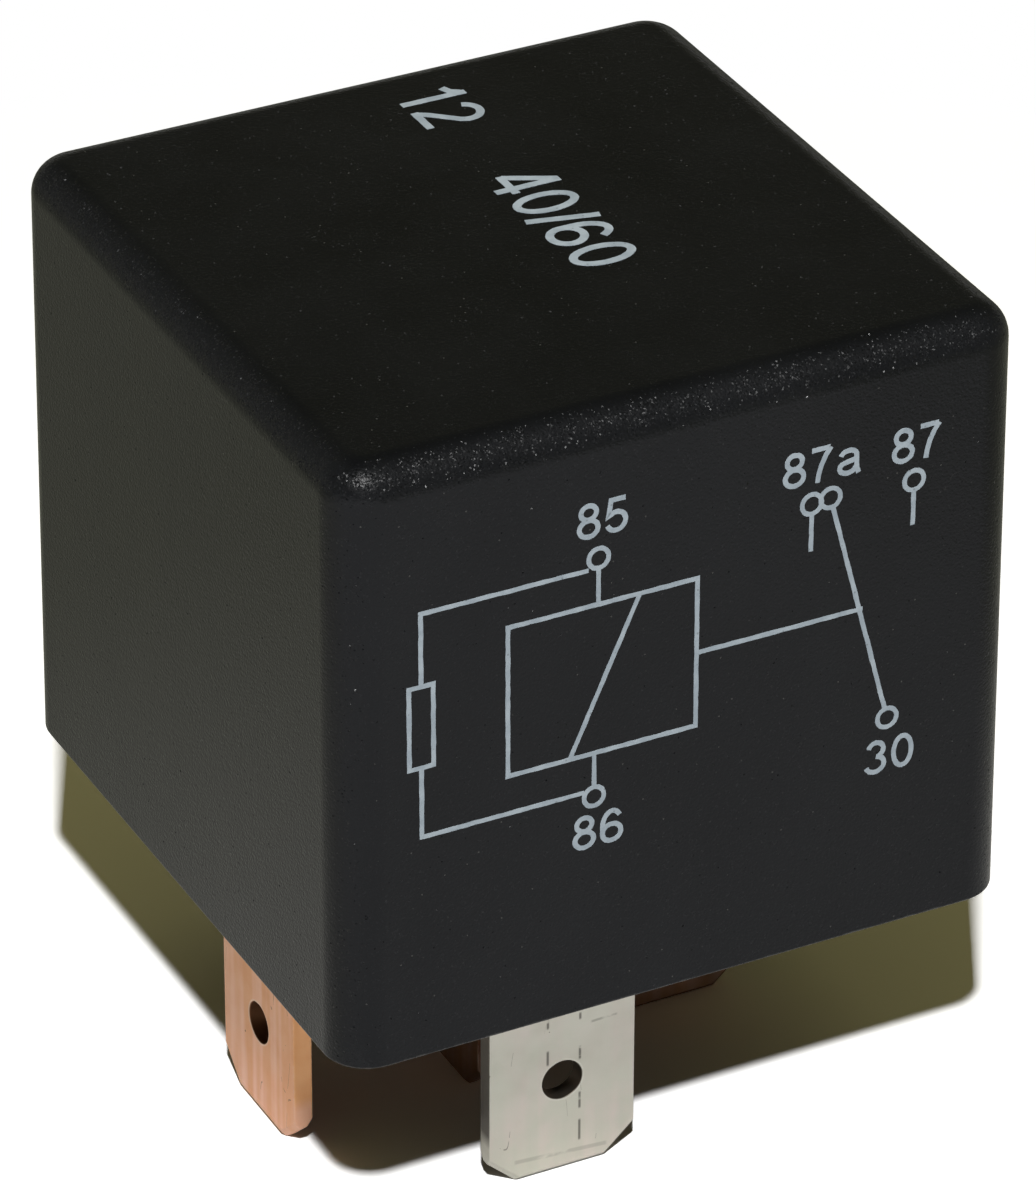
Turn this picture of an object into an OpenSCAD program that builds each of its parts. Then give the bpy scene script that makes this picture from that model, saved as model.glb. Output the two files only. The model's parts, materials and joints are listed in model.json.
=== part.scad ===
// Changeover relay with five blade terminals.
// Millimetres, +Z up. The origin is the middle of the footprint, on the plane of the blade tips.
// The diagram face looks along -Y. Terminal 87 is on the -X side, terminal 30 on the +X side.
// The blades, the magnet and the contacts set the room inside, and the cover is made to go round them.

/* [Blade terminals] */
// Blade width
tab_w = 6.3; // [6.0:0.05:6.6]
// Blade thickness
tab_t = 0.8; // [0.7:0.05:0.9]
// Blade length below the cover rim
tab_len = 11.4; // [9:0.1:13]
// Detent hole diameter
hole_d = 1.7; // [1.4:0.05:1.9]
// Detent hole height above the tip
hole_up = 4.25; // [3.6:0.05:4.8]
// Corner cut at the tip, across the blade
tip_cut_w = 1.2; // [0.8:0.05:1.5]
// Corner cut at the tip, along the blade
tip_cut_h = 1.1; // [0.8:0.05:1.6]
// Size of the coined bevel round the tip
tip_bevel = 0.24; // [0.1:0.01:0.3]
// Distance between the two coil blades
coil_pitch = 16.8; // [15:0.1:18.5]
// Distance from blade 87 to blade 30
load_pitch = 17.8; // [16:0.1:19.5]
// Distance from blade 87 to blade 87a
nc_pitch = 8.0; // [7.2:0.1:8.8]
// Distance from blade 87 to the coil blades' middle
coil_set = 8.4; // [7.8:0.1:9.2]

/* [Room round the inner parts] */
// From blade 87 to the outside of the cover
no_margin = 3.55; // [3.2:0.05:4.2]
// From the edge of blade 30 to the outside of the cover
com_margin = 3.8; // [3.4:0.05:4.4]
// From a coil blade to the outside of the cover
coil_margin = 5.5; // [4.8:0.1:6.5]
// Free height over the upper contact
top_room = 1.35; // [0.4:0.05:3]
// From the stem of terminal 87 to the bobbin
stem_room = 3.5; // [3.1:0.1:4.2]

/* [Cover] */
// Side wall thickness
wall_t = 1.1; // [0.9:0.05:1.25]
// Top wall thickness
top_t = 1.2; // [0.9:0.05:1.4]
// Radius of the four upright edges
edge_r = 1.8; // [1.6:0.05:2.2]
// Radius of the edge round the top face
top_r = 1.45; // [1.0:0.05:1.6]
// Mould draft of the side walls, degrees
draft = 0.3; // [0:0.05:0.5]

/* [Base plate] */
// Base plate thickness
base_t = 3.1; // [2.8:0.1:3.5]
// Gap between the base plate and the cover wall
base_gap = 0.08; // [0.04:0.01:0.15]
// Gap round each blade in its slot
slot_gap = 0.05; // [0.02:0.01:0.08]
// How far a snap nub stands out of the base plate
nub_out = 0.35; // [0.2:0.05:0.45]
// Width of a snap nub
nub_w = 4; // [3:0.5:6]

/* [Magnet] */
// Thickness of the yoke iron
yoke_t = 1.6; // [1.4:0.1:1.8]
// From the edge of blade 30 to the yoke's back
ear_set = 0.65; // [0.4:0.05:0.8]
// Core diameter
core_d = 6; // [5:0.1:6.8]
// Pole disc diameter
pole_d = 8.4; // [7.4:0.1:9.4]
// Pole disc thickness
pole_t = 0.9; // [0.7:0.1:1.1]
// Bobbin height with its two flanges
bobbin_h = 12.6; // [11:0.1:14.5]
// Bobbin wall and flange thickness
flange_t = 0.8; // [0.6:0.05:1.0]
// How far the flanges stand out over the winding
flange_lip = 0.7; // [0.4:0.05:1.2]

/* [Armature and contacts] */
// Armature thickness
arm_t = 1.3; // [1.1:0.05:1.5]
// Angle between the resting and the pulled-in armature
swing = 2.5; // [2:0.05:2.8]
// Thickness of the contact spring
leaf_t = 0.25; // [0.15:0.01:0.3]
// Moving contact button diameter
button_d = 2.8; // [2.4:0.1:3.2]
// Fixed contact button diameter
fixed_d = 3.2; // [2.8:0.1:3.6]
// Thickness of the contact arms
strip_t = 0.8; // [0.6:0.05:0.9]

/* [Suppression resistor] */
// Resistor diameter
res_d = 2.3; // [1.8:0.1:2.6]
// Resistor length
res_l = 6.4; // [5:0.1:8]

/* [Hidden] */
$fn = 48;
eps = 0.01;
touch = 0.03;
iron_gap = 0.3;

// cover, made to go round what it holds
cover_w = no_margin + load_pitch + tab_w / 2 + com_margin;
cover_d = coil_pitch + tab_t + 2 * coil_margin;
rim_z = tab_len;
base_top = rim_z + base_t;
in_w = cover_w / 2 - wall_t;
in_d = cover_d / 2 - wall_t;

// blade places
no_x = -cover_w / 2 + no_margin;
coil_x = no_x + coil_set;
nc_x = no_x + nc_pitch;
com_x = no_x + load_pitch;
coil_y = coil_pitch / 2;

// magnet, from the yoke's back to the stem of terminal 87, and from the base plate upward
yoke_out = com_x + tab_w / 2 + ear_set;
yoke_in = yoke_out - yoke_t;
flange_gap = 0.1;
// the magnet is as wide as the tighter of its two rooms: stem to yoke, or coil blade to coil blade
flange_d = min(yoke_in - iron_gap - (no_x + tab_t / 2 + stem_room), coil_pitch - tab_t - 2 * flange_gap);
coil_d = flange_d - 2 * flange_lip;
core_x = yoke_in - iron_gap - flange_d / 2;
bobbin_left = core_x - flange_d / 2;
foot_over = 0.3;
yoke_w = coil_d + 2 * foot_over;
foot_top = base_top + yoke_t;
bobbin_top = foot_top + bobbin_h;
pole_z = bobbin_top + pole_t;
yoke_top = pole_z + 2 * touch;
foot_rim = 1.1;
foot_left = core_x - core_d / 2 - foot_rim;
barrel_d = core_d + 2 * flange_t;
shank_in = 0.7;
core_foot_d = core_d - 2 * shank_in;
peg_d = 1.6;
peg_in = 2.1;
peg_x = yoke_in - peg_in;
peg_y = yoke_w / 2 - peg_in;

// the hinge is the yoke's outer top edge
hinge_x = yoke_out;
hinge_z = yoke_top + touch;
horn_t = 1.0;
horn_h = 1.1;
horn_gap = 0.5;
arm_w = yoke_w - 2 * horn_t - 2 * horn_gap;
arm_reach = 2.4;
arm_left = core_x - pole_d / 2 - arm_reach;
arm_taper = 2;
arm_top = hinge_z + arm_t;
rivet_d = 1.1;
head_d = 1.9;
head_slope = 0.6;
head_h = 0.45;
tail_h = 0.4;
rivet_x = yoke_in - peg_in;
rivet_y = arm_w / 4;

// contact stack, pulled in: arm, fixed contact, moving contact, spring
arm_room = 0.6;
arm_over = 1.7;
contact_x = -(bobbin_left - arm_room - arm_over);
shank_d = 1.4;
fixed_shank_d = 1.5;
button_slope = 0.3;
under_h = 0.6;
over_h = 0.5;
no_h = 0.6;
nc_h = 0.5;
swage_h = 0.25;
swage_d = 2.1;
no_top = arm_top - under_h - touch;
no_arm_z = no_top - no_h;
lift_x = hinge_x + contact_x;
over_top = arm_t + leaf_t + over_h;
rest_x = hinge_x - lift_x * cos(swing) + over_top * sin(swing);
rest_top = hinge_z + (lift_x + button_d / 2) * sin(swing) + over_top * cos(swing);
nc_low = rest_top + touch;
nc_arm_z = nc_low + nc_h;
cover_h = nc_arm_z + strip_t + swage_h + top_room + top_t - rim_z;
stem_w = 4;
riser_gap = 0.4;
riser_x = no_x - tab_t - riser_gap;
strip_gap = 0.75;
riser_y = tab_w / 2 + strip_gap;
strip_edge = coil_y - tab_t / 2 - strip_gap;
strip_lap = 1.4;
nc_arm_r = 1.9;

// common blade's ear on the yoke's back
ear_w = 5;
ear_h = 4.5;
ear_deep = 2.1;
ear_y = ear_w / 2 - tab_t / 2;
ear_top = base_top + ear_h;
ear_rivet_z = ear_top - yoke_t;

// spring's leg on the yoke's back, measured down from the hinge
leg_w = 8;
leg_h = 8.8;
leg_rivet_up = 2.4;
leg_bend_h = 3.2;
leaf_side = 1;
leaf_end_over = 0.8;
leaf_tip_w = 4;
leg_low = hinge_z - leg_h;
leg_rivet_z = leg_low + leg_rivet_up;
leg_rivet_y = 2.3;
leg_bend_z = hinge_z - leg_bend_h;
bend_up = 2.3;
bend_over = 0.1;
bend_out = 1.7;
window_w = 3;
window_in = 0.6;

// coil posts beside the bobbin
post_w = 2;
post_in = 1.15;
post_h = 4.2;
post_x = coil_x - tab_w / 2 + post_in;
post_top = base_top + post_h;
wire_d = 0.25;
wire_gap = 0.02;
wrap_h = 0.75;
wrap_z = post_top - 2 * wrap_h;
lead_rise = 0.9;
lead_angle = 35;

// resistor between the bobbin and terminal 87
res_x = (no_x + tab_t / 2 + bobbin_left) / 2 + 0.1;
res_z = base_top + res_d / 2 + 0.05;
res_cap = 1.2;
res_neck = 0.3;
lead_d = 0.5;

// snap nubs and stops between the base plate and the cover
nub_low = 1.1;
nub_h = 0.9;
nub_gap = 0.15;
nub_root = 0.3;
nub_z = rim_z + nub_low;
stop_w = 2;
stop_h = 1.6;
stop_in = 0.9;
stop_x = in_w - 4 * stop_w / 2;

module at_rest() {
    translate([hinge_x, 0, hinge_z])
        rotate([0, swing, 0])
            translate([-hinge_x, 0, -hinge_z])
                children();
}

function arc_points(cx, cy, r, a0, a1, n) =
    [for (i = [0:n]) [cx + r * cos(a0 + (a1 - a0) * i / n), cy + r * sin(a0 + (a1 - a0) * i / n)]];

// half width, half depth, corner radius
function round_rect(hw, hd, r, n) = concat(
    arc_points(hw - r, hd - r, r, 0, 90, n),
    arc_points(-hw + r, hd - r, r, 90, 180, n),
    arc_points(-hw + r, -hd + r, r, 180, 270, n),
    arc_points(hw - r, -hd + r, r, 270, 360, n));

module slab(hw, hd, r, z, n) {
    translate([0, 0, z])
        linear_extrude(eps)
            polygon(round_rect(hw, hd, r, n));
}

// a drafted box with rounded upright edges and a rounded edge round its top
module shell_block(hw, hd, z0, z1, r_up, r_top, n_up, n_top) {
    pull = (z1 - z0 - r_top) * tan(draft);
    hull() {
        slab(hw, hd, r_up, z0, n_up);
        for (i = [0:n_top]) {
            a = 90 * i / n_top;
            inset = pull + r_top * (1 - cos(a));
            slab(hw - inset, hd - inset, r_up - (inset - pull), z1 - r_top + r_top * sin(a) - eps, n_up);
        }
    }
}

module box(x0, x1, y0, y1, z0, z1) {
    translate([x0, y0, z0])
        cube([x1 - x0, y1 - y0, z1 - z0]);
}

// ---------- housing ----------

// radius inside the cover, round its top
inner_r = 0.5;
base_r = 1.0;

module cover() {
    color([0.07, 0.075, 0.07])
    difference() {
        shell_block(cover_w / 2, cover_d / 2, rim_z, rim_z + cover_h, edge_r, top_r, 8, 7);
        difference() {
            shell_block(in_w, in_d, rim_z - eps, rim_z + cover_h - top_t, edge_r - wall_t, inner_r, 4, 2);
            for (sx = [-1, 1], sy = [-1, 1])
                translate([sx * stop_x - stop_w / 2, sy * in_d - stop_in, base_top])
                    cube([stop_w, 2 * stop_in, stop_h]);
        }
        for (sx = [-1, 1])
            translate([sx * in_w, 0, nub_z + nub_h / 2])
                cube([2 * (nub_out + nub_gap - base_gap), nub_w + 2 * nub_gap, nub_h + 2 * nub_gap], center = true);
    }
}

module base_plate() {
    color([0.12, 0.12, 0.12])
    difference() {
        union() {
            translate([0, 0, rim_z])
                linear_extrude(base_t)
                    polygon(round_rect(in_w - base_gap, in_d - base_gap, base_r, 6));
            for (sx = [-1, 1])
                translate([sx * (in_w - base_gap), -nub_w / 2, nub_z])
                    scale([sx, 1, 1])
                        rotate([-90, 0, 0])
                            linear_extrude(nub_w)
                                polygon([
                                    [-nub_root, 0], [0, 0], [nub_out, -nub_h / 2], [nub_out, -nub_h],
                                    [-nub_root, -nub_h]]);
            for (sy = [-1, 1])
                translate([peg_x, sy * peg_y, base_top - eps])
                    cylinder(h = yoke_t - 2 * touch, d = peg_d);
        }
        // slots for the five blades
        for (sy = [-1, 1])
            slot_cut(coil_x, sy * coil_y, tab_w, tab_t);
        slot_cut(no_x, 0, tab_t, tab_w);
        slot_cut(nc_x, 0, tab_t, tab_w);
        slot_cut(com_x, 0, tab_w, tab_t);
        // room for the common blade's bend
        ear_bend(slot_gap, 1);
        // groove for the strip that leads terminal 87a to its riser
        translate([0, 0, base_top - strip_t - slot_gap])
            linear_extrude(2 * strip_t)
                polygon(nc_strip(slot_gap));
    }
}

module slot_cut(x, y, w, d) {
    translate([x, y, rim_z + base_t / 2])
        cube([w + 2 * slot_gap, d + 2 * slot_gap, 2 * base_t], center = true);
}

// the common blade's strip, bent round against the yoke's back, grown by g
module ear_bend(g, up) {
    back = yoke_out + tab_t + g;
    box(com_x, back, -tab_t / 2 - g, tab_t / 2 + g, base_top - ear_deep - g, base_top + up);
    box(yoke_out - g, back, -tab_t / 2 - g, ear_w - tab_t / 2 + g, base_top - ear_deep - g, base_top + up);
}

// ---------- blade terminals ----------

// outline of a blade, tip down at z = 0
function blade_outline(top) = [
    [-tab_w / 2, top], [-tab_w / 2, tip_cut_h], [-tab_w / 2 + tip_cut_w, 0],
    [tab_w / 2 - tip_cut_w, 0], [tab_w / 2, tip_cut_h], [tab_w / 2, top]];

// a wedge that takes the bevel off one edge of the tip, from a to b, on the face that side gives
module bevel_cut(a, b, side) {
    run = b - a;
    extra = tip_cut_w;
    translate([a[0], side * tab_t / 2, a[1]])
        rotate([0, -atan2(run[1], run[0]), 0])
            translate([-extra, 0, 0])
                rotate([90, 0, 90])
                    linear_extrude(norm(run) + 2 * extra)
                        polygon([
                            [-side * tip_bevel, -eps], [side * extra, -eps], [side * extra, extra],
                            [side * eps, extra], [side * eps, tip_bevel + eps]]);
}

// a blade in the XZ plane, tip down at z = 0, top at the given height
module blade(top) {
    outline = blade_outline(top);
    difference() {
        rotate([90, 0, 0])
            translate([0, 0, -tab_t / 2])
                linear_extrude(tab_t)
                    polygon(outline);
        for (i = [1:3], side = [-1, 1])
            bevel_cut(outline[i], outline[i + 1], side);
        translate([0, 0, hole_up])
            rotate([90, 0, 0])
                cylinder(h = 3 * tab_t, d = hole_d, center = true);
    }
}

module coil_terminal(side) {
    translate([coil_x, side * coil_y, 0]) {
        blade(base_top);
        translate([post_x - coil_x - post_w / 2, -tab_t / 2, base_top - 1])
            cube([post_w, tab_t, post_top - base_top + 1]);
    }
}

module terminal_85() {
    color([0.78, 0.77, 0.72])
        coil_terminal(-1);
}

module terminal_86() {
    color([0.78, 0.77, 0.72])
        coil_terminal(1);
}

module terminal_87() {
    color([0.80, 0.50, 0.38])
    difference() {
        union() {
            translate([no_x, 0, 0])
                rotate([0, 0, 90])
                    blade(base_top + 1);
            box(no_x - tab_t / 2, no_x + tab_t / 2, -stem_w / 2, stem_w / 2, base_top, no_arm_z);
            box(no_x - tab_t / 2, -contact_x + arm_over, -stem_w / 2, stem_w / 2, no_arm_z - strip_t, no_arm_z);
        }
        translate([-contact_x, 0, no_arm_z])
            cylinder(h = 4 * strip_t, d = fixed_shank_d + 2 * touch, center = true);
    }
}

// outline of the flat strip inside the base plate, grown by g
function nc_strip(g) = [
    [nc_x + tab_t / 2 + g, -tab_w / 2 - g],
    [nc_x + tab_t / 2 + g, strip_edge + g],
    [riser_x - tab_t / 2 - g, strip_edge + g],
    [riser_x - tab_t / 2 - g, riser_y - g],
    [nc_x - tab_t / 2 - strip_lap - g, riser_y - g],
    [nc_x - tab_t / 2 - strip_lap - g, -tab_w / 2 - g]];

module terminal_87a() {
    color([0.80, 0.50, 0.38])
    difference() {
        union() {
            translate([nc_x, 0, 0])
                rotate([0, 0, 90])
                    blade(base_top);
            translate([0, 0, base_top - strip_t])
                linear_extrude(strip_t)
                    polygon(nc_strip(0));
            box(riser_x - tab_t / 2, riser_x + tab_t / 2, riser_y, strip_edge, base_top - strip_t, nc_arm_z + strip_t);
            translate([0, 0, nc_arm_z])
                linear_extrude(strip_t)
                    polygon([
                        [riser_x - tab_t / 2, strip_edge], [riser_x - tab_t / 2, riser_y],
                        [rest_x - nc_arm_r, nc_arm_r / 4], [rest_x - nc_arm_r, -nc_arm_r], [rest_x + nc_arm_r, -nc_arm_r],
                        [rest_x + nc_arm_r, nc_arm_r], [riser_x + strip_edge - riser_y, strip_edge]]);
        }
        translate([rest_x, 0, nc_arm_z])
            cylinder(h = 4 * strip_t, d = fixed_shank_d + 2 * touch, center = true);
    }
}

module terminal_30() {
    color([0.80, 0.50, 0.38])
    difference() {
        union() {
            translate([com_x, 0, 0])
                blade(base_top);
            ear_bend(0, 0);
            box(yoke_out, yoke_out + tab_t, -tab_t / 2, ear_w - tab_t / 2, base_top - ear_deep, ear_top);
        }
        translate([yoke_out + tab_t / 2, ear_y, ear_rivet_z])
            rotate([0, 90, 0])
                cylinder(h = 3 * tab_t, d = rivet_d + 2 * touch, center = true);
    }
}

// ---------- magnet ----------

module yoke() {
    color([0.62, 0.62, 0.60])
    difference() {
        union() {
            box(foot_left, yoke_out, -yoke_w / 2, yoke_w / 2, base_top, foot_top);
            box(yoke_in, yoke_out, -yoke_w / 2, yoke_w / 2, base_top, yoke_top);
            // horns that keep the armature from sliding sideways
            for (sy = [-1, 1])
                translate([yoke_in, sy * (yoke_w - horn_t) / 2 - horn_t / 2, yoke_top - eps])
                    cube([yoke_t, horn_t, horn_h]);
        }
        translate([core_x, 0, base_top])
            cylinder(h = 3 * yoke_t, d = core_foot_d + 2 * touch, center = true);
        for (sy = [-1, 1])
            translate([peg_x, sy * peg_y, base_top])
                cylinder(h = 3 * yoke_t, d = peg_d + 2 * touch, center = true);
        for (sy = [-1, 1])
            rivet_hole(sy * leg_rivet_y, leg_rivet_z);
        rivet_hole(ear_y, ear_rivet_z);
    }
}

module rivet_hole(y, z) {
    translate([yoke_in, y, z])
        rotate([0, 90, 0])
            cylinder(h = 3 * yoke_t, d = rivet_d + 2 * touch, center = true);
}

module core() {
    color([0.55, 0.55, 0.54])
    translate([core_x, 0, 0]) {
        translate([0, 0, base_top + touch])
            cylinder(h = yoke_t, d = core_foot_d);
        translate([0, 0, foot_top])
            cylinder(h = bobbin_h + eps, d = core_d);
        translate([0, 0, bobbin_top])
            cylinder(h = pole_t, d = pole_d);
    }
}

module bobbin() {
    color([0.85, 0.83, 0.76])
    translate([core_x, 0, foot_top])
        rotate_extrude()
            polygon([
                [core_d / 2 + touch, 0], [flange_d / 2, 0], [flange_d / 2, flange_t],
                [barrel_d / 2, flange_t], [barrel_d / 2, bobbin_h - flange_t],
                [flange_d / 2, bobbin_h - flange_t], [flange_d / 2, bobbin_h], [core_d / 2 + touch, bobbin_h]]);
}

module coil_winding() {
    color([0.55, 0.22, 0.10])
    translate([core_x, 0, foot_top + flange_t + wire_gap])
        difference() {
            cylinder(h = bobbin_h - 2 * flange_t - 2 * wire_gap, d = coil_d);
            translate([0, 0, -flange_t])
                cylinder(h = bobbin_h, d = barrel_d + 2 * wire_gap);
        }
}

// one wire from the winding to its post, wound round the post
module coil_lead(side) {
    off = coil_d / 2 + wire_d / 2 + 2 * wire_gap;
    wrap_in_w = post_w + 2 * wire_gap;
    wrap_in_t = tab_t + 2 * wire_gap;
    p0 = [core_x - off * cos(lead_angle), side * off * sin(lead_angle), wrap_z + lead_rise];
    p1 = [post_x, side * (coil_y - wrap_in_t / 2 - wire_d / 2), wrap_z + wrap_h / 2];
    d = p1 - p0;
    n = norm(d);
    translate(p0)
        rotate([0, acos(d[2] / n), atan2(d[1], d[0])])
            cylinder(h = n, d = wire_d, $fn = 16);
    translate([post_x, side * coil_y, wrap_z + wrap_h / 2])
        difference() {
            cube([wrap_in_w + 2 * wire_d, wrap_in_t + 2 * wire_d, wrap_h], center = true);
            cube([wrap_in_w, wrap_in_t, 2 * wrap_h], center = true);
        }
}

module coil_lead_85() {
    color([0.72, 0.36, 0.20])
        coil_lead(-1);
}

module coil_lead_86() {
    color([0.72, 0.36, 0.20])
        coil_lead(1);
}

// ---------- armature group ----------

module armature() {
    color([0.66, 0.66, 0.64])
    at_rest()
        difference() {
            linear_extrude_at(hinge_z, arm_t)
                polygon([
                    [arm_left, -arm_w / 2 + arm_taper], [arm_left + arm_taper, -arm_w / 2], [hinge_x, -arm_w / 2],
                    [hinge_x, arm_w / 2], [arm_left + arm_taper, arm_w / 2], [arm_left, arm_w / 2 - arm_taper]]);
            for (sy = [-1, 1])
                translate([rivet_x, sy * rivet_y, hinge_z])
                    cylinder(h = 3 * arm_t, d = rivet_d + 2 * touch, center = true);
        }
}

module linear_extrude_at(z, h) {
    translate([0, 0, z])
        linear_extrude(h)
            children();
}

module armature_rivet(side) {
    at_rest()
        translate([rivet_x, side * rivet_y, 0]) {
            translate([0, 0, hinge_z - eps])
                cylinder(h = arm_t + leaf_t + 2 * eps, d = rivet_d);
            translate([0, 0, arm_top + leaf_t])
                cylinder(h = head_h, d1 = head_d, d2 = head_d - head_slope);
            translate([0, 0, hinge_z - tail_h])
                cylinder(h = tail_h, d1 = head_d - head_slope, d2 = head_d - head_slope / 2);
        }
}

module armature_rivet_front() {
    color([0.75, 0.73, 0.66])
        armature_rivet(-1);
}

module armature_rivet_back() {
    color([0.75, 0.73, 0.66])
        armature_rivet(1);
}

// centre line of the contact spring at rest, from its contact end, over the armature, down the yoke's back
leaf_end = -contact_x - button_d / 2 - leaf_end_over;
function tip_point(x) = [
    hinge_x - (hinge_x - x) * cos(swing) + (arm_t + leaf_t / 2) * sin(swing),
    hinge_z + (hinge_x - x) * sin(swing) + (arm_t + leaf_t / 2) * cos(swing)];
bend_a = tip_point(hinge_x + bend_over);
bend_b = bend_a + bend_out * [cos(swing), -sin(swing)];
bend_d = [yoke_out + leaf_t / 2, leg_bend_z];
bend_c = bend_d + [0, bend_up];
function bend_point(t) = pow(1 - t, 3) * bend_a + 3 * pow(1 - t, 2) * t * bend_b
    + 3 * (1 - t) * t * t * bend_c + pow(t, 3) * bend_d;
bend_n = 14;
leaf_line = concat(
    [tip_point(leaf_end)],
    [for (i = [0:bend_n]) bend_point(i / bend_n)],
    [[yoke_out + leaf_t / 2, leg_low]]);
function unit(v) = v / norm(v);
function line_dir(p, i) = unit(p[min(i + 1, len(p) - 1)] - p[max(i - 1, 0)]);
function side_line(p, s) = [for (i = [0:len(p) - 1]) p[i] + s * [-line_dir(p, i)[1], line_dir(p, i)[0]]];
function flip(p) = [for (i = [len(p) - 1:-1:0]) p[i]];

// half of the spring seen from above, from its contact end to its leg
function leaf_half(s) = [
    [leaf_end - leaf_side, s * leaf_tip_w / 2], [-contact_x + leaf_tip_w / 2, s * leaf_tip_w / 2],
    [arm_left + arm_taper, s * (arm_w / 2 - leaf_side)], [hinge_x - leaf_side, s * (arm_w / 2 - leaf_side)],
    [hinge_x, s * leg_w / 2], [hinge_x + 4 * bend_out, s * leg_w / 2]];

module contact_spring() {
    color([0.78, 0.58, 0.36])
    difference() {
        intersection() {
            rotate([90, 0, 0])
                translate([0, 0, -arm_w / 2])
                    linear_extrude(arm_w)
                        polygon(concat(side_line(leaf_line, leaf_t / 2), flip(side_line(leaf_line, -leaf_t / 2))));
            linear_extrude_at(leg_low - leaf_t, 2 * (hinge_z - leg_low))
                polygon(concat(leaf_half(-1), flip(leaf_half(1))));
        }
        at_rest()
            for (sy = [-1, 1])
                translate([rivet_x, sy * rivet_y, arm_top])
                    cylinder(h = 4 * leaf_t, d = rivet_d + 2 * touch, center = true);
        at_rest()
            translate([-contact_x, 0, arm_top])
                cylinder(h = 4 * leaf_t, d = shank_d + 2 * touch, center = true);
        for (sy = [-1, 1])
            translate([yoke_out, sy * leg_rivet_y, leg_rivet_z])
                rotate([0, 90, 0])
                    cylinder(h = 4 * leaf_t, d = rivet_d + 2 * touch, center = true);
        // window that softens the bend
        translate([hinge_x - window_in, -window_w / 2, leg_bend_z])
            cube([3 * bend_out, window_w, 2 * (hinge_z - leg_bend_z)]);
    }
}

module moving_contact() {
    color([0.86, 0.86, 0.84])
    at_rest()
        translate([-contact_x, 0, arm_top]) {
            translate([0, 0, -eps])
                cylinder(h = leaf_t + 2 * eps, d = shank_d);
            translate([0, 0, leaf_t])
                cylinder(h = over_h, d1 = button_d, d2 = button_d - button_slope);
            translate([0, 0, -under_h])
                cylinder(h = under_h, d1 = button_d - button_slope, d2 = button_d);
        }
}

// a contact riveted into its arm, button up, arm's face at z = 0
module fixed_contact(button_h) {
    cylinder(h = button_h, d1 = fixed_d, d2 = fixed_d - button_slope);
    translate([0, 0, -strip_t - eps])
        cylinder(h = strip_t + 2 * eps, d = fixed_shank_d);
    translate([0, 0, -strip_t - swage_h])
        cylinder(h = swage_h, d1 = swage_d - button_slope, d2 = swage_d);
}

module fixed_contact_no() {
    color([0.86, 0.86, 0.84])
    translate([-contact_x, 0, no_arm_z])
        fixed_contact(no_h);
}

module fixed_contact_nc() {
    color([0.86, 0.86, 0.84])
    translate([rest_x, 0, nc_arm_z])
        rotate([180, 0, 0])
            fixed_contact(nc_h);
}

// a rivet through the given sheet into the yoke's leg
module back_rivet(y, z, sheet) {
    translate([yoke_in, y, z])
        rotate([0, 90, 0]) {
            cylinder(h = yoke_t + sheet + eps, d = rivet_d);
            translate([0, 0, yoke_t + sheet])
                cylinder(h = head_h, d1 = head_d, d2 = head_d - head_slope);
        }
}

module spring_rivet_front() {
    color([0.75, 0.73, 0.66])
        back_rivet(-leg_rivet_y, leg_rivet_z, leaf_t);
}

module spring_rivet_back() {
    color([0.75, 0.73, 0.66])
        back_rivet(leg_rivet_y, leg_rivet_z, leaf_t);
}

module common_rivet() {
    color([0.75, 0.73, 0.66])
        back_rivet(ear_y, ear_rivet_z, tab_t);
}

// ---------- suppression resistor ----------

module resistor_body() {
    cap_r = res_d / 2;
    end_r = cap_r - res_neck;
    mid_r = cap_r - res_neck / 2;
    color([0.30, 0.45, 0.60])
    translate([res_x, -res_l / 2, res_z])
        rotate([-90, 0, 0])
            rotate_extrude()
                polygon([
                    [0, 0], [end_r, 0], [cap_r, res_neck], [cap_r, res_cap], [mid_r, res_cap + res_neck],
                    [mid_r, res_l - res_cap - res_neck], [cap_r, res_l - res_cap], [cap_r, res_l - res_neck],
                    [end_r, res_l], [0, res_l]]);
}

module resistor_lead(side) {
    y0 = res_l / 2;
    reach = post_x - post_w / 2 - wire_gap;
    translate([res_x, side * y0, res_z])
        rotate([side * -90, 0, 0])
            cylinder(h = coil_y - y0, d = lead_d, $fn = 24);
    translate([res_x, side * coil_y, res_z])
        sphere(d = lead_d, $fn = 24);
    translate([res_x, side * coil_y, res_z])
        rotate([0, 90, 0])
            cylinder(h = reach - res_x, d = lead_d, $fn = 24);
}

module resistor_lead_85() {
    color([0.70, 0.70, 0.68])
        resistor_lead(-1);
}

module resistor_lead_86() {
    color([0.70, 0.70, 0.68])
        resistor_lead(1);
}

cover();
base_plate();
terminal_85();
terminal_86();
terminal_87();
terminal_87a();
terminal_30();
yoke();
core();
bobbin();
coil_winding();
coil_lead_85();
coil_lead_86();
armature();
armature_rivet_front();
armature_rivet_back();
contact_spring();
moving_contact();
fixed_contact_no();
fixed_contact_nc();
spring_rivet_front();
spring_rivet_back();
common_rivet();
resistor_body();
resistor_lead_85();
resistor_lead_86();
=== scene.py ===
# Looks of a changeover relay with five blade terminals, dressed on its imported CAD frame.
# Metres, in the frame of the CAD: +Z up, blade tips at zero, the diagram face towards -Y.

import json
import math
import random

import bmesh
import bpy
from mathutils import Matrix, Vector


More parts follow.
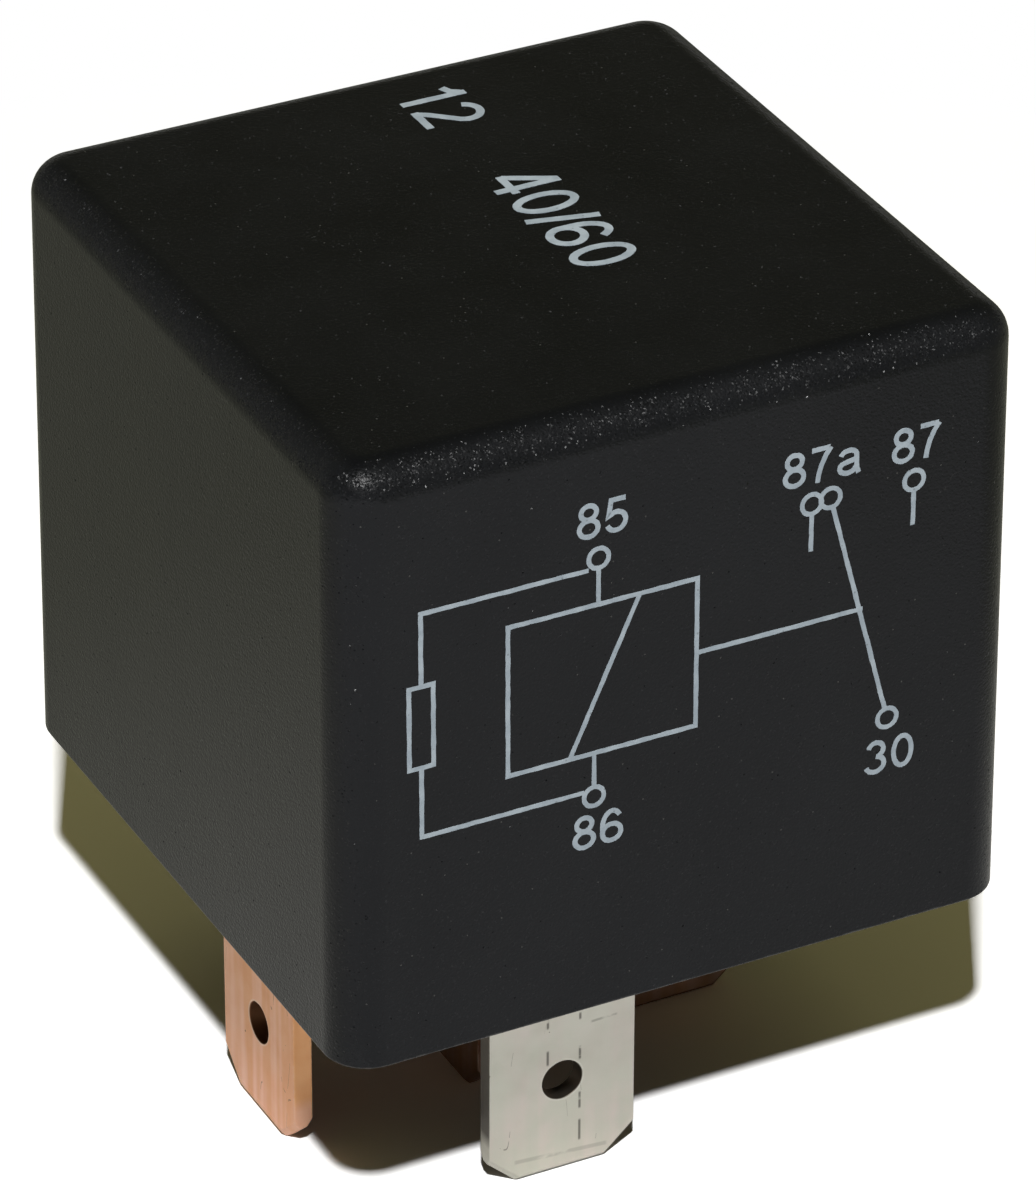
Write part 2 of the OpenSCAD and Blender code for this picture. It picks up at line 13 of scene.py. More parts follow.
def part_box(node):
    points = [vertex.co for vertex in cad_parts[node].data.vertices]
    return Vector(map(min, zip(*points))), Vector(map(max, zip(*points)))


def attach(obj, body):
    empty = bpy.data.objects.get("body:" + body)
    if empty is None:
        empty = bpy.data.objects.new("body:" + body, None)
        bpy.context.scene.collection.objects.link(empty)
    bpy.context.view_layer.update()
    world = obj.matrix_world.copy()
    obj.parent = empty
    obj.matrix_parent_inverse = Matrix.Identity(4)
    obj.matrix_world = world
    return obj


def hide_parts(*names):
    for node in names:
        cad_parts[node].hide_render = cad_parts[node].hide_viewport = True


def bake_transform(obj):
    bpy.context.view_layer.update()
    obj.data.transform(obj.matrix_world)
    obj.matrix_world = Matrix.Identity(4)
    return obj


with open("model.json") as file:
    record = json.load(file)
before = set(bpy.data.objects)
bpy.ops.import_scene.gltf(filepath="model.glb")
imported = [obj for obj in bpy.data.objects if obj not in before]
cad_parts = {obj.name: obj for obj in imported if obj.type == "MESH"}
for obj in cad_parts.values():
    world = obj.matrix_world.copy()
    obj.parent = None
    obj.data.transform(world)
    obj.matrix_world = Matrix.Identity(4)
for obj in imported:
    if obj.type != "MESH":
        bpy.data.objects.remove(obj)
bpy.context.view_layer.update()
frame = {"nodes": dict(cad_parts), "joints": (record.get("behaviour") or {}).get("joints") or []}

MM = 0.001
QUARTER = math.radians(90)

# ---------- places taken from the frame ----------


def box_middle(node):
    """The middle of a CAD node's box."""
    low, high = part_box(node)
    return Vector([(low[i] + high[i]) / 2 for i in range(3)])


cover_low, cover_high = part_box("cover")
BASE_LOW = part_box("base_plate")[0].z
RIM = cover_low.z
# the roof lies lower by the thickness of the raised print on it
PRINT_ROOM = 0.018 * MM
TOP = cover_high.z - PRINT_ROOM
HALF_W = cover_high.x
HALF_D = cover_high.y

# cover mould, as in the CAD
WALL = 1.1 * MM
ROOF = 1.2 * MM
EDGE_R = 1.8 * MM
TOP_R = 1.45 * MM
INNER_R = 0.5 * MM
DRAFT = math.radians(0.3)

# ---------- small makers ----------


def set_input(tree, node, key, value):
    """Links a socket or sets a plain value on a node's input."""
    if isinstance(value, bpy.types.NodeSocket):
        tree.links.new(value, node.inputs[key])
    else:
        node.inputs[key].default_value = value


def add(tree, kind, inputs=None, **settings):
    """Adds a node of the given kind, with its settings, then its inputs."""
    node = tree.nodes.new(kind)
    for name, value in settings.items():
        setattr(node, name, value)
    for key, value in (inputs or {}).items():
        set_input(tree, node, key, value)
    return node


def made(tree, kind, inputs=None, **settings):
    """Adds a node, and gives its first output."""
    return add(tree, kind, inputs, **settings).outputs[0]


def fresh_tree(owner):
    """The empty node tree of a material or world."""
    owner.use_nodes = True
    owner.node_tree.nodes.clear()
    return owner.node_tree


def maths(tree, operation, *values, clamp=False):
    """A Math node on the given values, and its result."""
    return made(tree, "ShaderNodeMath", dict(enumerate(values)), operation=operation, use_clamp=clamp)


def vector_maths(tree, operation, *values, result="Vector", **named):
    """A Vector Math node on the given values, and one of its results."""
    inputs = {**dict(enumerate(values)), **named}
    return add(tree, "ShaderNodeVectorMath", inputs, operation=operation).outputs[result]


def split(tree, vector):
    """The X, Y and Z of a vector."""
    return add(tree, "ShaderNodeSeparateXYZ", {0: vector}).outputs


def joined(tree, **parts):
    """A vector from its X, Y and Z."""
    return add(tree, "ShaderNodeCombineXYZ", parts).outputs[0]


def noise(tree, vector, scale, **more):
    """The value of a noise texture."""
    return add(tree, "ShaderNodeTexNoise", {"Vector": vector, "Scale": scale, **more}).outputs[0]


def ramp(tree, value, low, high, to_low=0.0, to_high=1.0):
    """Maps a value from low..high to to_low..to_high, clamped."""
    ends = {"From Min": low, "From Max": high, "To Min": to_low, "To Max": to_high}
    return add(tree, "ShaderNodeMapRange", {"Value": value, **ends}).outputs["Result"]


def cells_of(tree, given):
    """The cells of a Voronoi texture, as its outputs."""
    inputs = {"Vector": given["Vector"], "Scale": given["Cells per mm"]}
    return add(tree, "ShaderNodeTexVoronoi", inputs).outputs


def mix_colour(tree, factor, first, second):
    """Mixes two colours by a mask."""
    return add(tree, "ShaderNodeMix", {0: factor, 6: first, 7: second}, data_type="RGBA").outputs[2]


def rgb(red, green, blue):
    return (red, green, blue, 1.0)


def spaced(label):
    """A socket's name, from the keyword that stands for it."""
    return label.replace("_", " ")


# ---------- effects shared by the materials ----------


def effect_group(name, build, **values):
    """A shader group: a vector and named values go in, and build's named results come out."""
    tree = bpy.data.node_groups.new(name, "ShaderNodeTree")
    tree.interface.new_socket("Vector", in_out="INPUT", socket_type="NodeSocketVector")
    for label, value in values.items():
        socket = tree.interface.new_socket(spaced(label), in_out="INPUT", socket_type="NodeSocketFloat")
        socket.default_value = value
    results = build(tree, tree.nodes.new("NodeGroupInput").outputs)
    for label in results:
        kind = "NodeSocketVector" if label == "Normal" else "NodeSocketFloat"
        tree.interface.new_socket(label, in_out="OUTPUT", socket_type=kind)
    out = tree.nodes.new("NodeGroupOutput")
    for label, result in results.items():
        tree.links.new(result, out.inputs[label])
    return tree


def grain(tree, given):
    """Fine spark-eroded grain: a height, and a mask of its highest grains."""
    at, scale = given["Vector"], given["Grains per mm"]
    fine = noise(tree, at, scale, Detail=2.0, Roughness=0.6)
    cells = add(tree, "ShaderNodeTexVoronoi", {
        "Vector": at, "Scale": scale, "Randomness": 1.0, "Smoothness": 0.35}, feature="SMOOTH_F1")
    bumps = maths(tree, "SUBTRACT", fine, maths(tree, "MULTIPLY", cells.outputs["Distance"], 0.6))
    height = maths(tree, "MULTIPLY", bumps, given["Contrast"])
    return {"Height": height, "Peaks": ramp(tree, fine, 0.62, 0.72)}


def facets(tree, given):
    """Tiny moulded facets: a normal that leans its own way in each chosen cell, and those cells' mask."""
    cells = cells_of(tree, given)
    centred = vector_maths(tree, "SUBTRACT", cells["Color"], (0.5, 0.5, 0.5))
    draw = add(tree, "ShaderNodeTexWhiteNoise", {"Vector": cells["Position"]}, noise_dimensions="3D")
    chosen = maths(tree, "LESS_THAN", draw.outputs["Value"], given["Share"])
    lean = vector_maths(tree, "SCALE", centred, Scale=maths(tree, "MULTIPLY", given["Lean"], chosen))
    shape = tree.nodes.new("ShaderNodeNewGeometry")
    leaning = vector_maths(tree, "ADD", shape.outputs["Normal"], lean)
    return {"Normal": vector_maths(tree, "NORMALIZE", leaning), "Mask": chosen}


def clouds(tree, given):
    """Soft cloudy mask for uneven colour, tarnish and gloss."""
    value = noise(tree, given["Vector"], given["Patches per mm"], Detail=4.0, Roughness=0.55)
    return {"Mask": ramp(tree, value, given["Low"], given["High"])}


def specks(tree, given):
    """Sparse round specks, such as dust or pits."""
    cells = cells_of(tree, given)
    near = maths(tree, "LESS_THAN", cells["Distance"], given["Size"])
    draw = add(tree, "ShaderNodeSeparateColor", {0: cells["Color"]}).outputs[0]
    return {"Mask": maths(tree, "MULTIPLY", near, maths(tree, "LESS_THAN", draw, given["Share"]))}


def wear(tree, given):
    """Worn edges: where the surface turns within a small radius, broken up by noise."""
    bevel = add(tree, "ShaderNodeBevel", {"Radius": given["Radius"]}, samples=4)
    shape = tree.nodes.new("ShaderNodeNewGeometry")
    normals = (bevel.outputs["Normal"], shape.outputs["Normal"])
    agree = vector_maths(tree, "DOT_PRODUCT", *normals, result="Value")
    breaks = ramp(tree, noise(tree, given["Vector"], given["Breaks per mm"], Detail=3.0), 0.36, 0.6)
    broken = maths(tree, "MULTIPLY", ramp(tree, agree, 0.995, 0.86), breaks)
    return {"Mask": maths(tree, "MULTIPLY", broken, given["Amount"], clamp=True)}


def rolling(tree, given):
    """Rolling or drawing lines along the local Z axis."""
    parts, scale = split(tree, given["Vector"]), given["Lines per mm"]
    drawn = joined(tree, X=parts["X"], Y=parts["Y"], Z=maths(tree, "MULTIPLY", parts["Z"], given["Stretch"]))
    wide = noise(tree, drawn, maths(tree, "MULTIPLY", scale, 0.22), Detail=1.0)
    fine = noise(tree, drawn, scale, Detail=3.0, Roughness=0.7)
    return {"Height": fine, "Bands": ramp(tree, wide, 0.38, 0.62)}


def scratches(tree, given):
    """A few thin hairline scratches that run in one direction and break off."""
    at, scale = given["Vector"], given["Scale"]
    value = noise(tree, at, scale, Detail=1.0, Distortion=0.4)
    line = maths(tree, "ABSOLUTE", maths(tree, "SUBTRACT", value, 0.5))
    gaps = noise(tree, at, maths(tree, "MULTIPLY", scale, 3.1), Detail=2.0)
    kept = maths(tree, "LESS_THAN", gaps, given["Share"])
    return {"Mask": maths(tree, "MULTIPLY", maths(tree, "LESS_THAN", line, given["Width"]), kept)}


GRAIN = effect_group("Fine grain", grain, Grains_per_mm=12.0, Contrast=1.0)
FACETS = effect_group("Grain facets", facets, Cells_per_mm=18.0, Lean=1.0, Share=0.5)
CLOUDS = effect_group("Cloudy patches", clouds, Patches_per_mm=0.3, Low=0.35, High=0.65)
SPECKS = effect_group("Sparse specks", specks, Cells_per_mm=1.0, Size=0.08, Share=0.2)
WEAR = effect_group("Edge wear", wear, Radius=0.1 * MM, Breaks_per_mm=2.0, Amount=1.0)
ROLLING = effect_group("Rolling lines", rolling, Lines_per_mm=4.0, Stretch=0.03)
SCRATCHES = effect_group("Hairline scratches", scratches, Scale=0.5, Width=0.02, Share=0.5)


class Finish:
    """A material in the making: one Principled shader, fed by the shared effects in millimetres."""

    def __init__(self, name, centre=(0, 0, 0), turn=(0, 0, 0)):
        self.material = bpy.data.materials.new(name)
        self.tree = fresh_tree(self.material)
        self.shader = add(self.tree, "ShaderNodeBsdfPrincipled")
        end = add(self.tree, "ShaderNodeOutputMaterial", {"Surface": self.shader.outputs[0]})
        end.is_active_output = True
        self.place = self.tree.nodes.new("ShaderNodeTexCoord").outputs
        self.vector = add(self.tree, "ShaderNodeMapping", {
            "Vector": self.place["Object"], "Location": centre, "Rotation": turn, "Scale": (MM, MM, MM)},
            vector_type="TEXTURE").outputs[0]

    def effect(self, group, output, vector=None, **inputs):
        """Places a shared effect with its own values, and gives one of its outputs."""
        node = add(self.tree, "ShaderNodeGroup", node_tree=group, label=group.name)
        set_input(self.tree, node, "Vector", vector or self.vector)
        for label, value in inputs.items():
            set_input(self.tree, node, spaced(label), value)
        return node.outputs[output]

    # each effect by its own name, with its values in the order of its group

    def grain(self, per_mm, contrast=1.0, output="Height"):
        return self.effect(GRAIN, output, Grains_per_mm=per_mm, Contrast=contrast)

    def clouds(self, per_mm, low=0.35, high=0.65, vector=None):
        return self.effect(CLOUDS, "Mask", vector, Patches_per_mm=per_mm, Low=low, High=high)

    def specks(self, per_mm, size, share):
        return self.effect(SPECKS, "Mask", Cells_per_mm=per_mm, Size=size, Share=share)

    def wear(self, radius, breaks, amount):
        return self.effect(WEAR, "Mask", Radius=radius * MM, Breaks_per_mm=breaks, Amount=amount)

    def lines(self, per_mm, stretch=0.03, output="Height", vector=None):
        return self.effect(ROLLING, output, vector, Lines_per_mm=per_mm, Stretch=stretch)

    def bands(self, per_mm, stretch):
        return self.lines(per_mm, stretch, "Bands")

    def scratches(self, scale, width, share, vector=None):
        return self.effect(SCRATCHES, "Mask", vector, Scale=scale, Width=width, Share=share)

    def stretched(self, scale, turn=(0, 0, 0)):
        """The object's millimetres, scaled and turned for a directional effect."""
        return add(self.tree, "ShaderNodeMapping", {
            "Vector": self.vector, "Scale": scale, "Rotation": turn}).outputs[0]

    def mask(self, operation, *values):
        return maths(self.tree, operation, *values, clamp=True)

    def both(self, first, *others):
        """Where all the masks are, as their product."""
        for other in others:
            first = self.mask("MULTIPLY", first, other)
        return first

    def size(self, value):
        return maths(self.tree, "ABSOLUTE", value)

    def ramp(self, value, low, high, to_low=0.0, to_high=1.0):
        return ramp(self.tree, value, low, high, to_low, to_high)

    def tint(self, factor, first, second):
        return mix_colour(self.tree, factor, first, second)

    def lay(self, body, colour, mask, strength=None):
        """Lays a colour over the body where the mask is, as strongly as said."""
        return self.tint(mask if strength is None else self.both(mask, strength), body, colour)

    def bump(self, height, depth, under=None):
        """A bump from a height of 0 to 1, depth in millimetres, over an earlier bump."""
        inputs = {"Height": height, "Distance": depth * MM, "Strength": 1.0}
        if under is not None:
            inputs["Normal"] = under
        return add(self.tree, "ShaderNodeBump", inputs).outputs[0]

    def set(self, **inputs):
        for label, value in inputs.items():
            set_input(self.tree, self.shader, spaced(label), value)
        return self


# ---------- the finishes ----------


def cover_plastic():
    """Black glass-filled nylon with a fine spark-eroded grain, rubbed a little at its corners, with a painted
    sheen along its rounded edges.
    """
    half = Vector((HALF_W, HALF_D, (TOP - RIM) / 2)) / MM
    edge_far, edge_near = 1.3, 0.2
    f = Finish("Black grained nylon", centre=(0, 0, (RIM + TOP) / 2))
    patches = f.clouds(0.2, vector=f.stretched((1, 1, 0.4)))
    parts = split(f.tree, f.vector)
    near = [f.ramp(f.size(parts[i]), half[i] - edge_far, half[i] - edge_near) for i in range(3)]
    corner = f.both(near[0], near[1])
    rubbed = f.both(corner, near[2], f.clouds(2.2))
    outer = [f.ramp(f.size(parts[i]), half[i] - 0.22, half[i] - 0.10) for i in (0, 1)]
    at_rim = f.ramp(parts["Z"], 0.16 - half.z, 0.05 - half.z)
    burr = f.both(at_rim, f.mask("MAXIMUM", *outer), f.clouds(1.3, 0.5, 0.6))
    body = f.tint(patches, rgb(0.0030, 0.0034, 0.0046), rgb(0.0048, 0.0053, 0.0066))
    body = f.lay(body, rgb(0.020, 0.021, 0.023), f.grain(9.0, output="Peaks"), 0.5)
    body = f.lay(body, rgb(0.030, 0.031, 0.033), rubbed, 0.5)
    body = f.lay(body, rgb(0.12, 0.12, 0.115), burr, 0.8)
    body = f.lay(body, rgb(0.06, 0.06, 0.055), f.scratches(0.28, 0.0004, 0.33), 0.2)
    body = f.lay(body, rgb(0.12, 0.12, 0.11), f.specks(2.2, 0.075, 0.22), 0.5)
    # the mould's texture is coarser on the rounded edges, where single facets glint
    near_top = f.ramp(parts["Z"], half.z - edge_far, half.z - edge_near)
    round_top = f.both(f.mask("MAXIMUM", near[0], near[1]), near_top)
    on_edge = f.mask("MAXIMUM", round_top, f.both(corner, 0.25))
    clumps = f.ramp(f.clouds(1.5, 0.40, 0.62), 0.0, 1.0, 0.45, 1.35)
    share = maths(f.tree, "MULTIPLY", f.ramp(on_edge, 0.01, 0.50, 0.008, 0.55), clumps)
    rough = f.mask("SUBTRACT", f.ramp(patches, 0.0, 1.0, 0.215, 0.255), f.both(rubbed, 0.05))
    rough = f.mask("ADD", rough, f.ramp(on_edge, 0.0, 0.6, 0.0, 0.21))
    # painted sheen: the rounded edges' base colour is painted lighter, standing in for their soft highlight
    body = f.lay(body, rgb(0.0078, 0.0084, 0.0100), f.ramp(on_edge, 0.05, 0.7))
    normal = f.bump(patches, 0.005, f.effect(FACETS, "Normal", Cells_per_mm=17.5, Lean=1.0, Share=share))
    normal = f.bump(f.grain(8.5), 0.014, normal)
    return f.set(Base_Color=body, Roughness=rough, Normal=normal, Specular_IOR_Level=0.22).material


BLADE_WIDTH = 6.3 * MM
HOLE_UP = 4.25
HOLE_RADIUS = 0.85


def blade_middle(node, thick_axis):
    """The foot of a blade's middle line, by its width from the box's low side, as its arm is wider."""
    middle = box_middle(node)
    middle.z = 0
    wide = 0 if thick_axis == "Y" else 1
    middle[wide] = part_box(node)[0][wide] + BLADE_WIDTH / 2
    return middle


def blade_metal(name, node, turn, thick_axis, plain, blotch, deep, band, dark, cut, rolling_share, rough):
    """Rolled and stamped strip: bands along the blade, stains, scratches, sheared sides and a dull hole wall,
    with painted shade towards the cover and inside the hole, a painted reflection on the sheared sides and a
    painted glint round the hole.
    """
    f = Finish(name, blade_middle(node, thick_axis), turn)
    sheared = f.ramp(f.size(split(f.tree, f.place["Normal"])[thick_axis]), 0.80, 0.50)
    parts = split(f.tree, f.vector)
    up = parts["Z"]
    from_hole = joined(f.tree, X=parts["X"], Z=maths(f.tree, "SUBTRACT", up, HOLE_UP))
    far = vector_maths(f.tree, "LENGTH", from_hole, result="Value")
    in_hole = f.ramp(far, HOLE_RADIUS + 0.045, HOLE_RADIUS + 0.015)
    hole_rim = f.mask("SUBTRACT", f.ramp(far, HOLE_RADIUS + 0.13, HOLE_RADIUS + 0.06), in_hole)
    hair = f.scratches(0.55, 0.0022, 0.40, f.stretched((1, 1, 0.35), (0.0, 0.5, 0.2)))
    body = f.tint(f.clouds(0.45, 0.4, 0.66), plain, blotch)
    # painted shade: the colour darkens towards the cover, up to half strength 5.5 mm above the tip
    body = f.lay(body, deep, f.ramp(up, 1.0, 5.5, 0.0, 0.5))
    body = f.lay(body, band, f.bands(7.5, 0.05), rolling_share)
    body = f.lay(body, dark, hair, 0.6)
    body = f.lay(body, dark, f.specks(1.6, 0.075, 0.14), 0.75)
    # painted reflection: the sheared sides are pale low down near the tip, as if mirroring the lit table, and
    # dark higher up, as if mirroring the shade under the cover
    side = f.tint(f.ramp(up, 1.9, 2.5), f.tint(0.85, cut, plain), cut)
    body = f.lay(body, side, sheared, 0.92)
    body = f.lay(body, rgb(0.86, 0.84, 0.80), f.wear(0.10, 4.0, 0.75), 0.45)
    # painted glint: a pale ring round the hole's edge
    body = f.lay(body, rgb(0.90, 0.86, 0.80), hole_rim, 0.35)
    # painted shade: the wall inside the hole is painted dark
    body = f.lay(body, dark, in_hole, 0.93)
    dull = f.both(f.mask("MAXIMUM", sheared, in_hole), 0.12)
    uneven = f.mask("ADD", f.mask("ADD", f.both(f.clouds(1.1), 0.14), dull), rough)
    normal = f.bump(f.grain(7.0, 0.6), 0.0022, f.bump(f.lines(5.0), 0.0035))
    return f.set(Metallic=1.0, Roughness=uneven, Normal=normal), body


# where the stamping tool drags along a blade: offset across, low end and high end, in millimetres
TOOL_LINES = (
    (-0.64, 5.05, 5.80), (-0.64, 6.75, 7.25), (-0.64, 7.9, 8.6), (0.76, 1.15, 2.20), (0.76, 2.65, 3.50),
    (0.76, 4.95, 5.65), (0.76, 6.80, 7.20))
LINE_WIDTH, LINE_STRENGTH = 0.068, 0.75
# where it drags across: height, rise per millimetre, left end and right end, half width and strength
TOOL_CROSS = ((0.82, -0.075, -2.1, 2.0, 0.12, 0.22), (6.55, 0.03, 1.2, 2.4, 0.07, 0.38))


def stamp_marks(f, body, dark):
    """Broken dark lines that the tool leaves along and across the blade."""
    parts = split(f.tree, f.vector)
    across, up = parts["X"], parts["Z"]
    gaps = f.clouds(1.3, 0.36, 0.44, f.stretched((0.5, 1, 1)))

    def line(value, middle, along, low, high, width, strength):
        away = f.size(maths(f.tree, "SUBTRACT", value, middle))
        reach = f.both(f.ramp(along, low, low + 0.1), f.ramp(along, high, high - 0.1))
        return f.lay(body, dark, f.both(f.ramp(away, width, width * 0.5), reach, gaps), strength)

    for offset, low, high in TOOL_LINES:
        body = line(across, offset, up, low, high, LINE_WIDTH, LINE_STRENGTH)
    for height, rise, left, right, width, strength in TOOL_CROSS:
        tilted = maths(f.tree, "ADD", up, maths(f.tree, "MULTIPLY", across, -rise))
        body = line(tilted, height, across, left, right, width, strength)
    return body


def tin_plate(name, node):
    """Warm grey tin plate with faint stains, for the two coil blades."""
    # the third colour is painted shade towards the cover; the sheared sides are dark partly as raw unplated
    # edge and partly as painted reflection of the shade under the cover
    f, body = blade_metal(
        name, node, (0, 0, 0), "Y", rgb(0.73, 0.71, 0.63), rgb(0.82, 0.72, 0.68), rgb(0.56, 0.55, 0.48),
        rgb(0.66, 0.665, 0.58), rgb(0.12, 0.10, 0.08), rgb(0.15, 0.14, 0.125), 0.45, 0.36)
    return f.set(Base_Color=stamp_marks(f, body, rgb(0.09, 0.08, 0.07))).material


NEW_CUT = rgb(0.90, 0.49, 0.24)
# painted shade: the sheared sides of blades in shadow under the cover are painted dark
SHADED_CUT = rgb(0.22, 0.09, 0.05)


def bare_copper(name, node, turn, thick_axis, cut=NEW_CUT, painted_shade_scale=1.0):
    """Bare rolled copper with pink and orange bands. A lower painted shade scale darkens all its colours, as
    painted shade for blades that stand in shadow under the cover.
    """
    # plain, blotch, painted shade towards the cover, and band
    colours = ((0.93, 0.56, 0.405), (0.94, 0.60, 0.475), (0.90, 0.53, 0.37), (0.82, 0.42, 0.21))
    shaded_colours = [rgb(*(part * painted_shade_scale for part in colour)) for colour in colours]
    f, body = blade_metal(name, node, turn, thick_axis, *shaded_colours, rgb(0.19, 0.085, 0.045), cut, 0.75, 0.38)
    return f.set(Base_Color=body).material


def cloudy(name, plain, blotch, patches, layers, bumps, rough, metal=1.0, **place):
    """A finish of two cloudy colours: marks and wear are laid over them, and the gloss follows the clouds.
    A layer is an effect, its values, a colour and a strength. A bump is an effect, its values and a depth."""
    f = Finish(name, **place)
    mask = f.clouds(*patches)
    body = f.tint(mask, rgb(*plain), rgb(*blotch))
    for effect, values, colour, strength in layers:
        body = f.lay(body, rgb(*colour), effect(f, *values), strength)
    normal = None
    for effect, values, depth in bumps:
        normal = f.bump(effect(f, *values), depth, normal)
    return f.set(Base_Color=body, Metallic=metal, Roughness=f.ramp(mask, 0, 1, *rough), Normal=normal), mask


def flow_marks(f):
    """Faint marks across the plastic where it flowed into the mould."""
    return f.ramp(f.lines(0.6, vector=f.stretched((1, 1, 1), (0, QUARTER, 0))), 0.45, 0.7, 0.0, 0.35)


def base_plastic():
    """Black nylon of the base plate, a little smoother, with faint flow marks."""
    return cloudy(
        "Black base nylon", (0.012, 0.012, 0.0125), (0.018, 0.018, 0.0175), (0.25,),
        [(flow_marks, (), (0.026, 0.026, 0.025), None),
         (Finish.wear, (0.15, 2.5, 0.6), (0.06, 0.06, 0.058), None),
         (Finish.specks, (0.8, 0.04, 0.2), (0.15, 0.145, 0.13), 0.5)],
        [(Finish.grain, (6.0, 0.8), 0.006)], (0.36, 0.5), 0.0,
        centre=(0, 0, BASE_LOW))[0].set(Specular_IOR_Level=0.4).material


def print_ink():
    """Pale pad-printed ink, a little uneven and thin in places."""
    return cloudy(
        "Pale print ink", (0.365, 0.43, 0.485), (0.455, 0.525, 0.58), (1.4, 0.4, 0.62),
        [(Finish.specks, (5.0, 0.22, 0.10), (0.10, 0.115, 0.125), 0.45)],
        [(Finish.grain, (9.0,), 0.006)], (0.5, 0.62), 0.0)[0].material


def zinc_iron(name, plain, blotch):
    """Soft magnet iron with a thin, cloudy zinc plating."""
    return cloudy(
        name, plain, blotch, (0.7,),
        [(Finish.specks, (1.2, 0.08, 0.2), (0.20, 0.18, 0.15), 0.6),
         (Finish.wear, (0.12, 3.0, 0.8), (0.80, 0.80, 0.79), None)],
        [(Finish.grain, (4.0,), 0.004), (Finish.lines, (3.0,), 0.003)], (0.32, 0.46),
        centre=CORE_FOOT)[0].material


def bobbin_plastic():
    """Natural glass-filled plastic of the bobbin."""
    return cloudy(
        "Natural bobbin plastic", (0.62, 0.57, 0.44), (0.70, 0.66, 0.54), (0.35,),
        [(Finish.scratches, (1.6, 0.004, 0.5), (0.82, 0.80, 0.72), 0.3),
         (Finish.wear, (0.12, 2.0, 0.5), (0.80, 0.77, 0.66), None)],
        [(Finish.grain, (5.0,), 0.008)], (0.38, 0.5), 0.0, centre=(0, 0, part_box("bobbin")[0].z))[0].set(
            Subsurface_Weight=0.08, Subsurface_Scale=0.5 * MM).material


def enamel_wire(name, plain, deep):
    """Copper wire under clear enamel."""
    f, mask = cloudy(
        name, plain, deep, (1.6,), [(Finish.bands, (6.0, 0.4), (0.75, 0.36, 0.18), 0.35)],
        [(Finish.grain, (9.0,), 0.002)], (0.26, 0.4))
    return f.set(Coat_Weight=f.ramp(mask, 0, 1, 0.5, 0.8), Coat_Roughness=0.15).material


def spring_bronze():
    """Rolled bronze leaf of the contact spring, with heat tints."""
    return cloudy(
        "Spring bronze", (0.72, 0.47, 0.25), (0.78, 0.54, 0.32), (0.5,),
        [(Finish.clouds, (0.18, 0.5, 0.7), (0.58, 0.34, 0.22), 0.5),
         (Finish.wear, (0.06, 4.0, 0.7), (0.88, 0.74, 0.56), None)],
        [(Finish.lines, (7.0, 0.02), 0.003)], (0.22, 0.34), turn=(0, QUARTER, 0))[0].material


def contact_silver():
    """Silver contact buttons, bright with a little yellow tarnish and pitting."""
    return cloudy(
        "Contact silver", (0.88, 0.87, 0.84), (0.78, 0.72, 0.58), (1.2, 0.45, 0.7),
        [(Finish.specks, (4.5, 0.16, 0.22), (0.35, 0.31, 0.26), 0.5)],
        [(Finish.grain, (10.0,), 0.004)], (0.2, 0.36))[0].material


def plated_rivets():
    """Pale plated rivets with tool marks."""
    return cloudy(
        "Plated rivets", (0.66, 0.62, 0.52), (0.72, 0.70, 0.62), (1.5,),
        [(Finish.scratches, (2.2, 0.01, 0.5), (0.30, 0.27, 0.22), 0.5),
         (Finish.wear, (0.08, 4.0, 0.8), (0.86, 0.84, 0.78), None)],
        [(Finish.grain, (8.0,), 0.003)], (0.25, 0.4))[0].material


def tinned_wire():
    """Soft tinned copper leads."""
    return cloudy(
        "Tinned leads", (0.66, 0.65, 0.62), (0.74, 0.72, 0.68), (1.8,),
        [(Finish.scratches, (1.5, 0.008, 0.5), (0.42, 0.30, 0.22), 0.5)],
        [(Finish.grain, (6.0,), 0.003)], (0.28, 0.42))[0].material


# the resistor's colour bands: place along it in millimetres, and colour
RESISTOR_BANDS = (
    (-2.35, rgb(0.030, 0.14, 0.45)), (-1.05, rgb(0.10, 0.10, 0.11)), (0.0, rgb(0.20, 0.07, 0.03)),
    (2.35, rgb(0.55, 0.36, 0.10)))


def resistor_lacquer():
    """Pale lacquered resistor body with its colour bands round it."""
    f = Finish("Resistor lacquer", box_middle("resistor_body"))
    patches, drips = f.clouds(1.0), f.grain(3.0)
    body = f.tint(patches, rgb(0.20, 0.36, 0.50), rgb(0.26, 0.43, 0.56))
    along = split(f.tree, f.vector)["Y"]
    for centre, colour in RESISTOR_BANDS:
        off = f.size(maths(f.tree, "SUBTRACT", along, centre))
        ragged = maths(f.tree, "ADD", off, maths(f.tree, "MULTIPLY", drips, 0.05))
        body = f.lay(body, colour, f.ramp(ragged, 0.33, 0.29))
    return f.set(
        Base_Color=body, Roughness=f.ramp(patches, 0, 1, 0.3, 0.42), Normal=f.bump(drips, 0.01),
        Coat_Weight=f.ramp(patches, 0, 1, 0.4, 0.6)).material


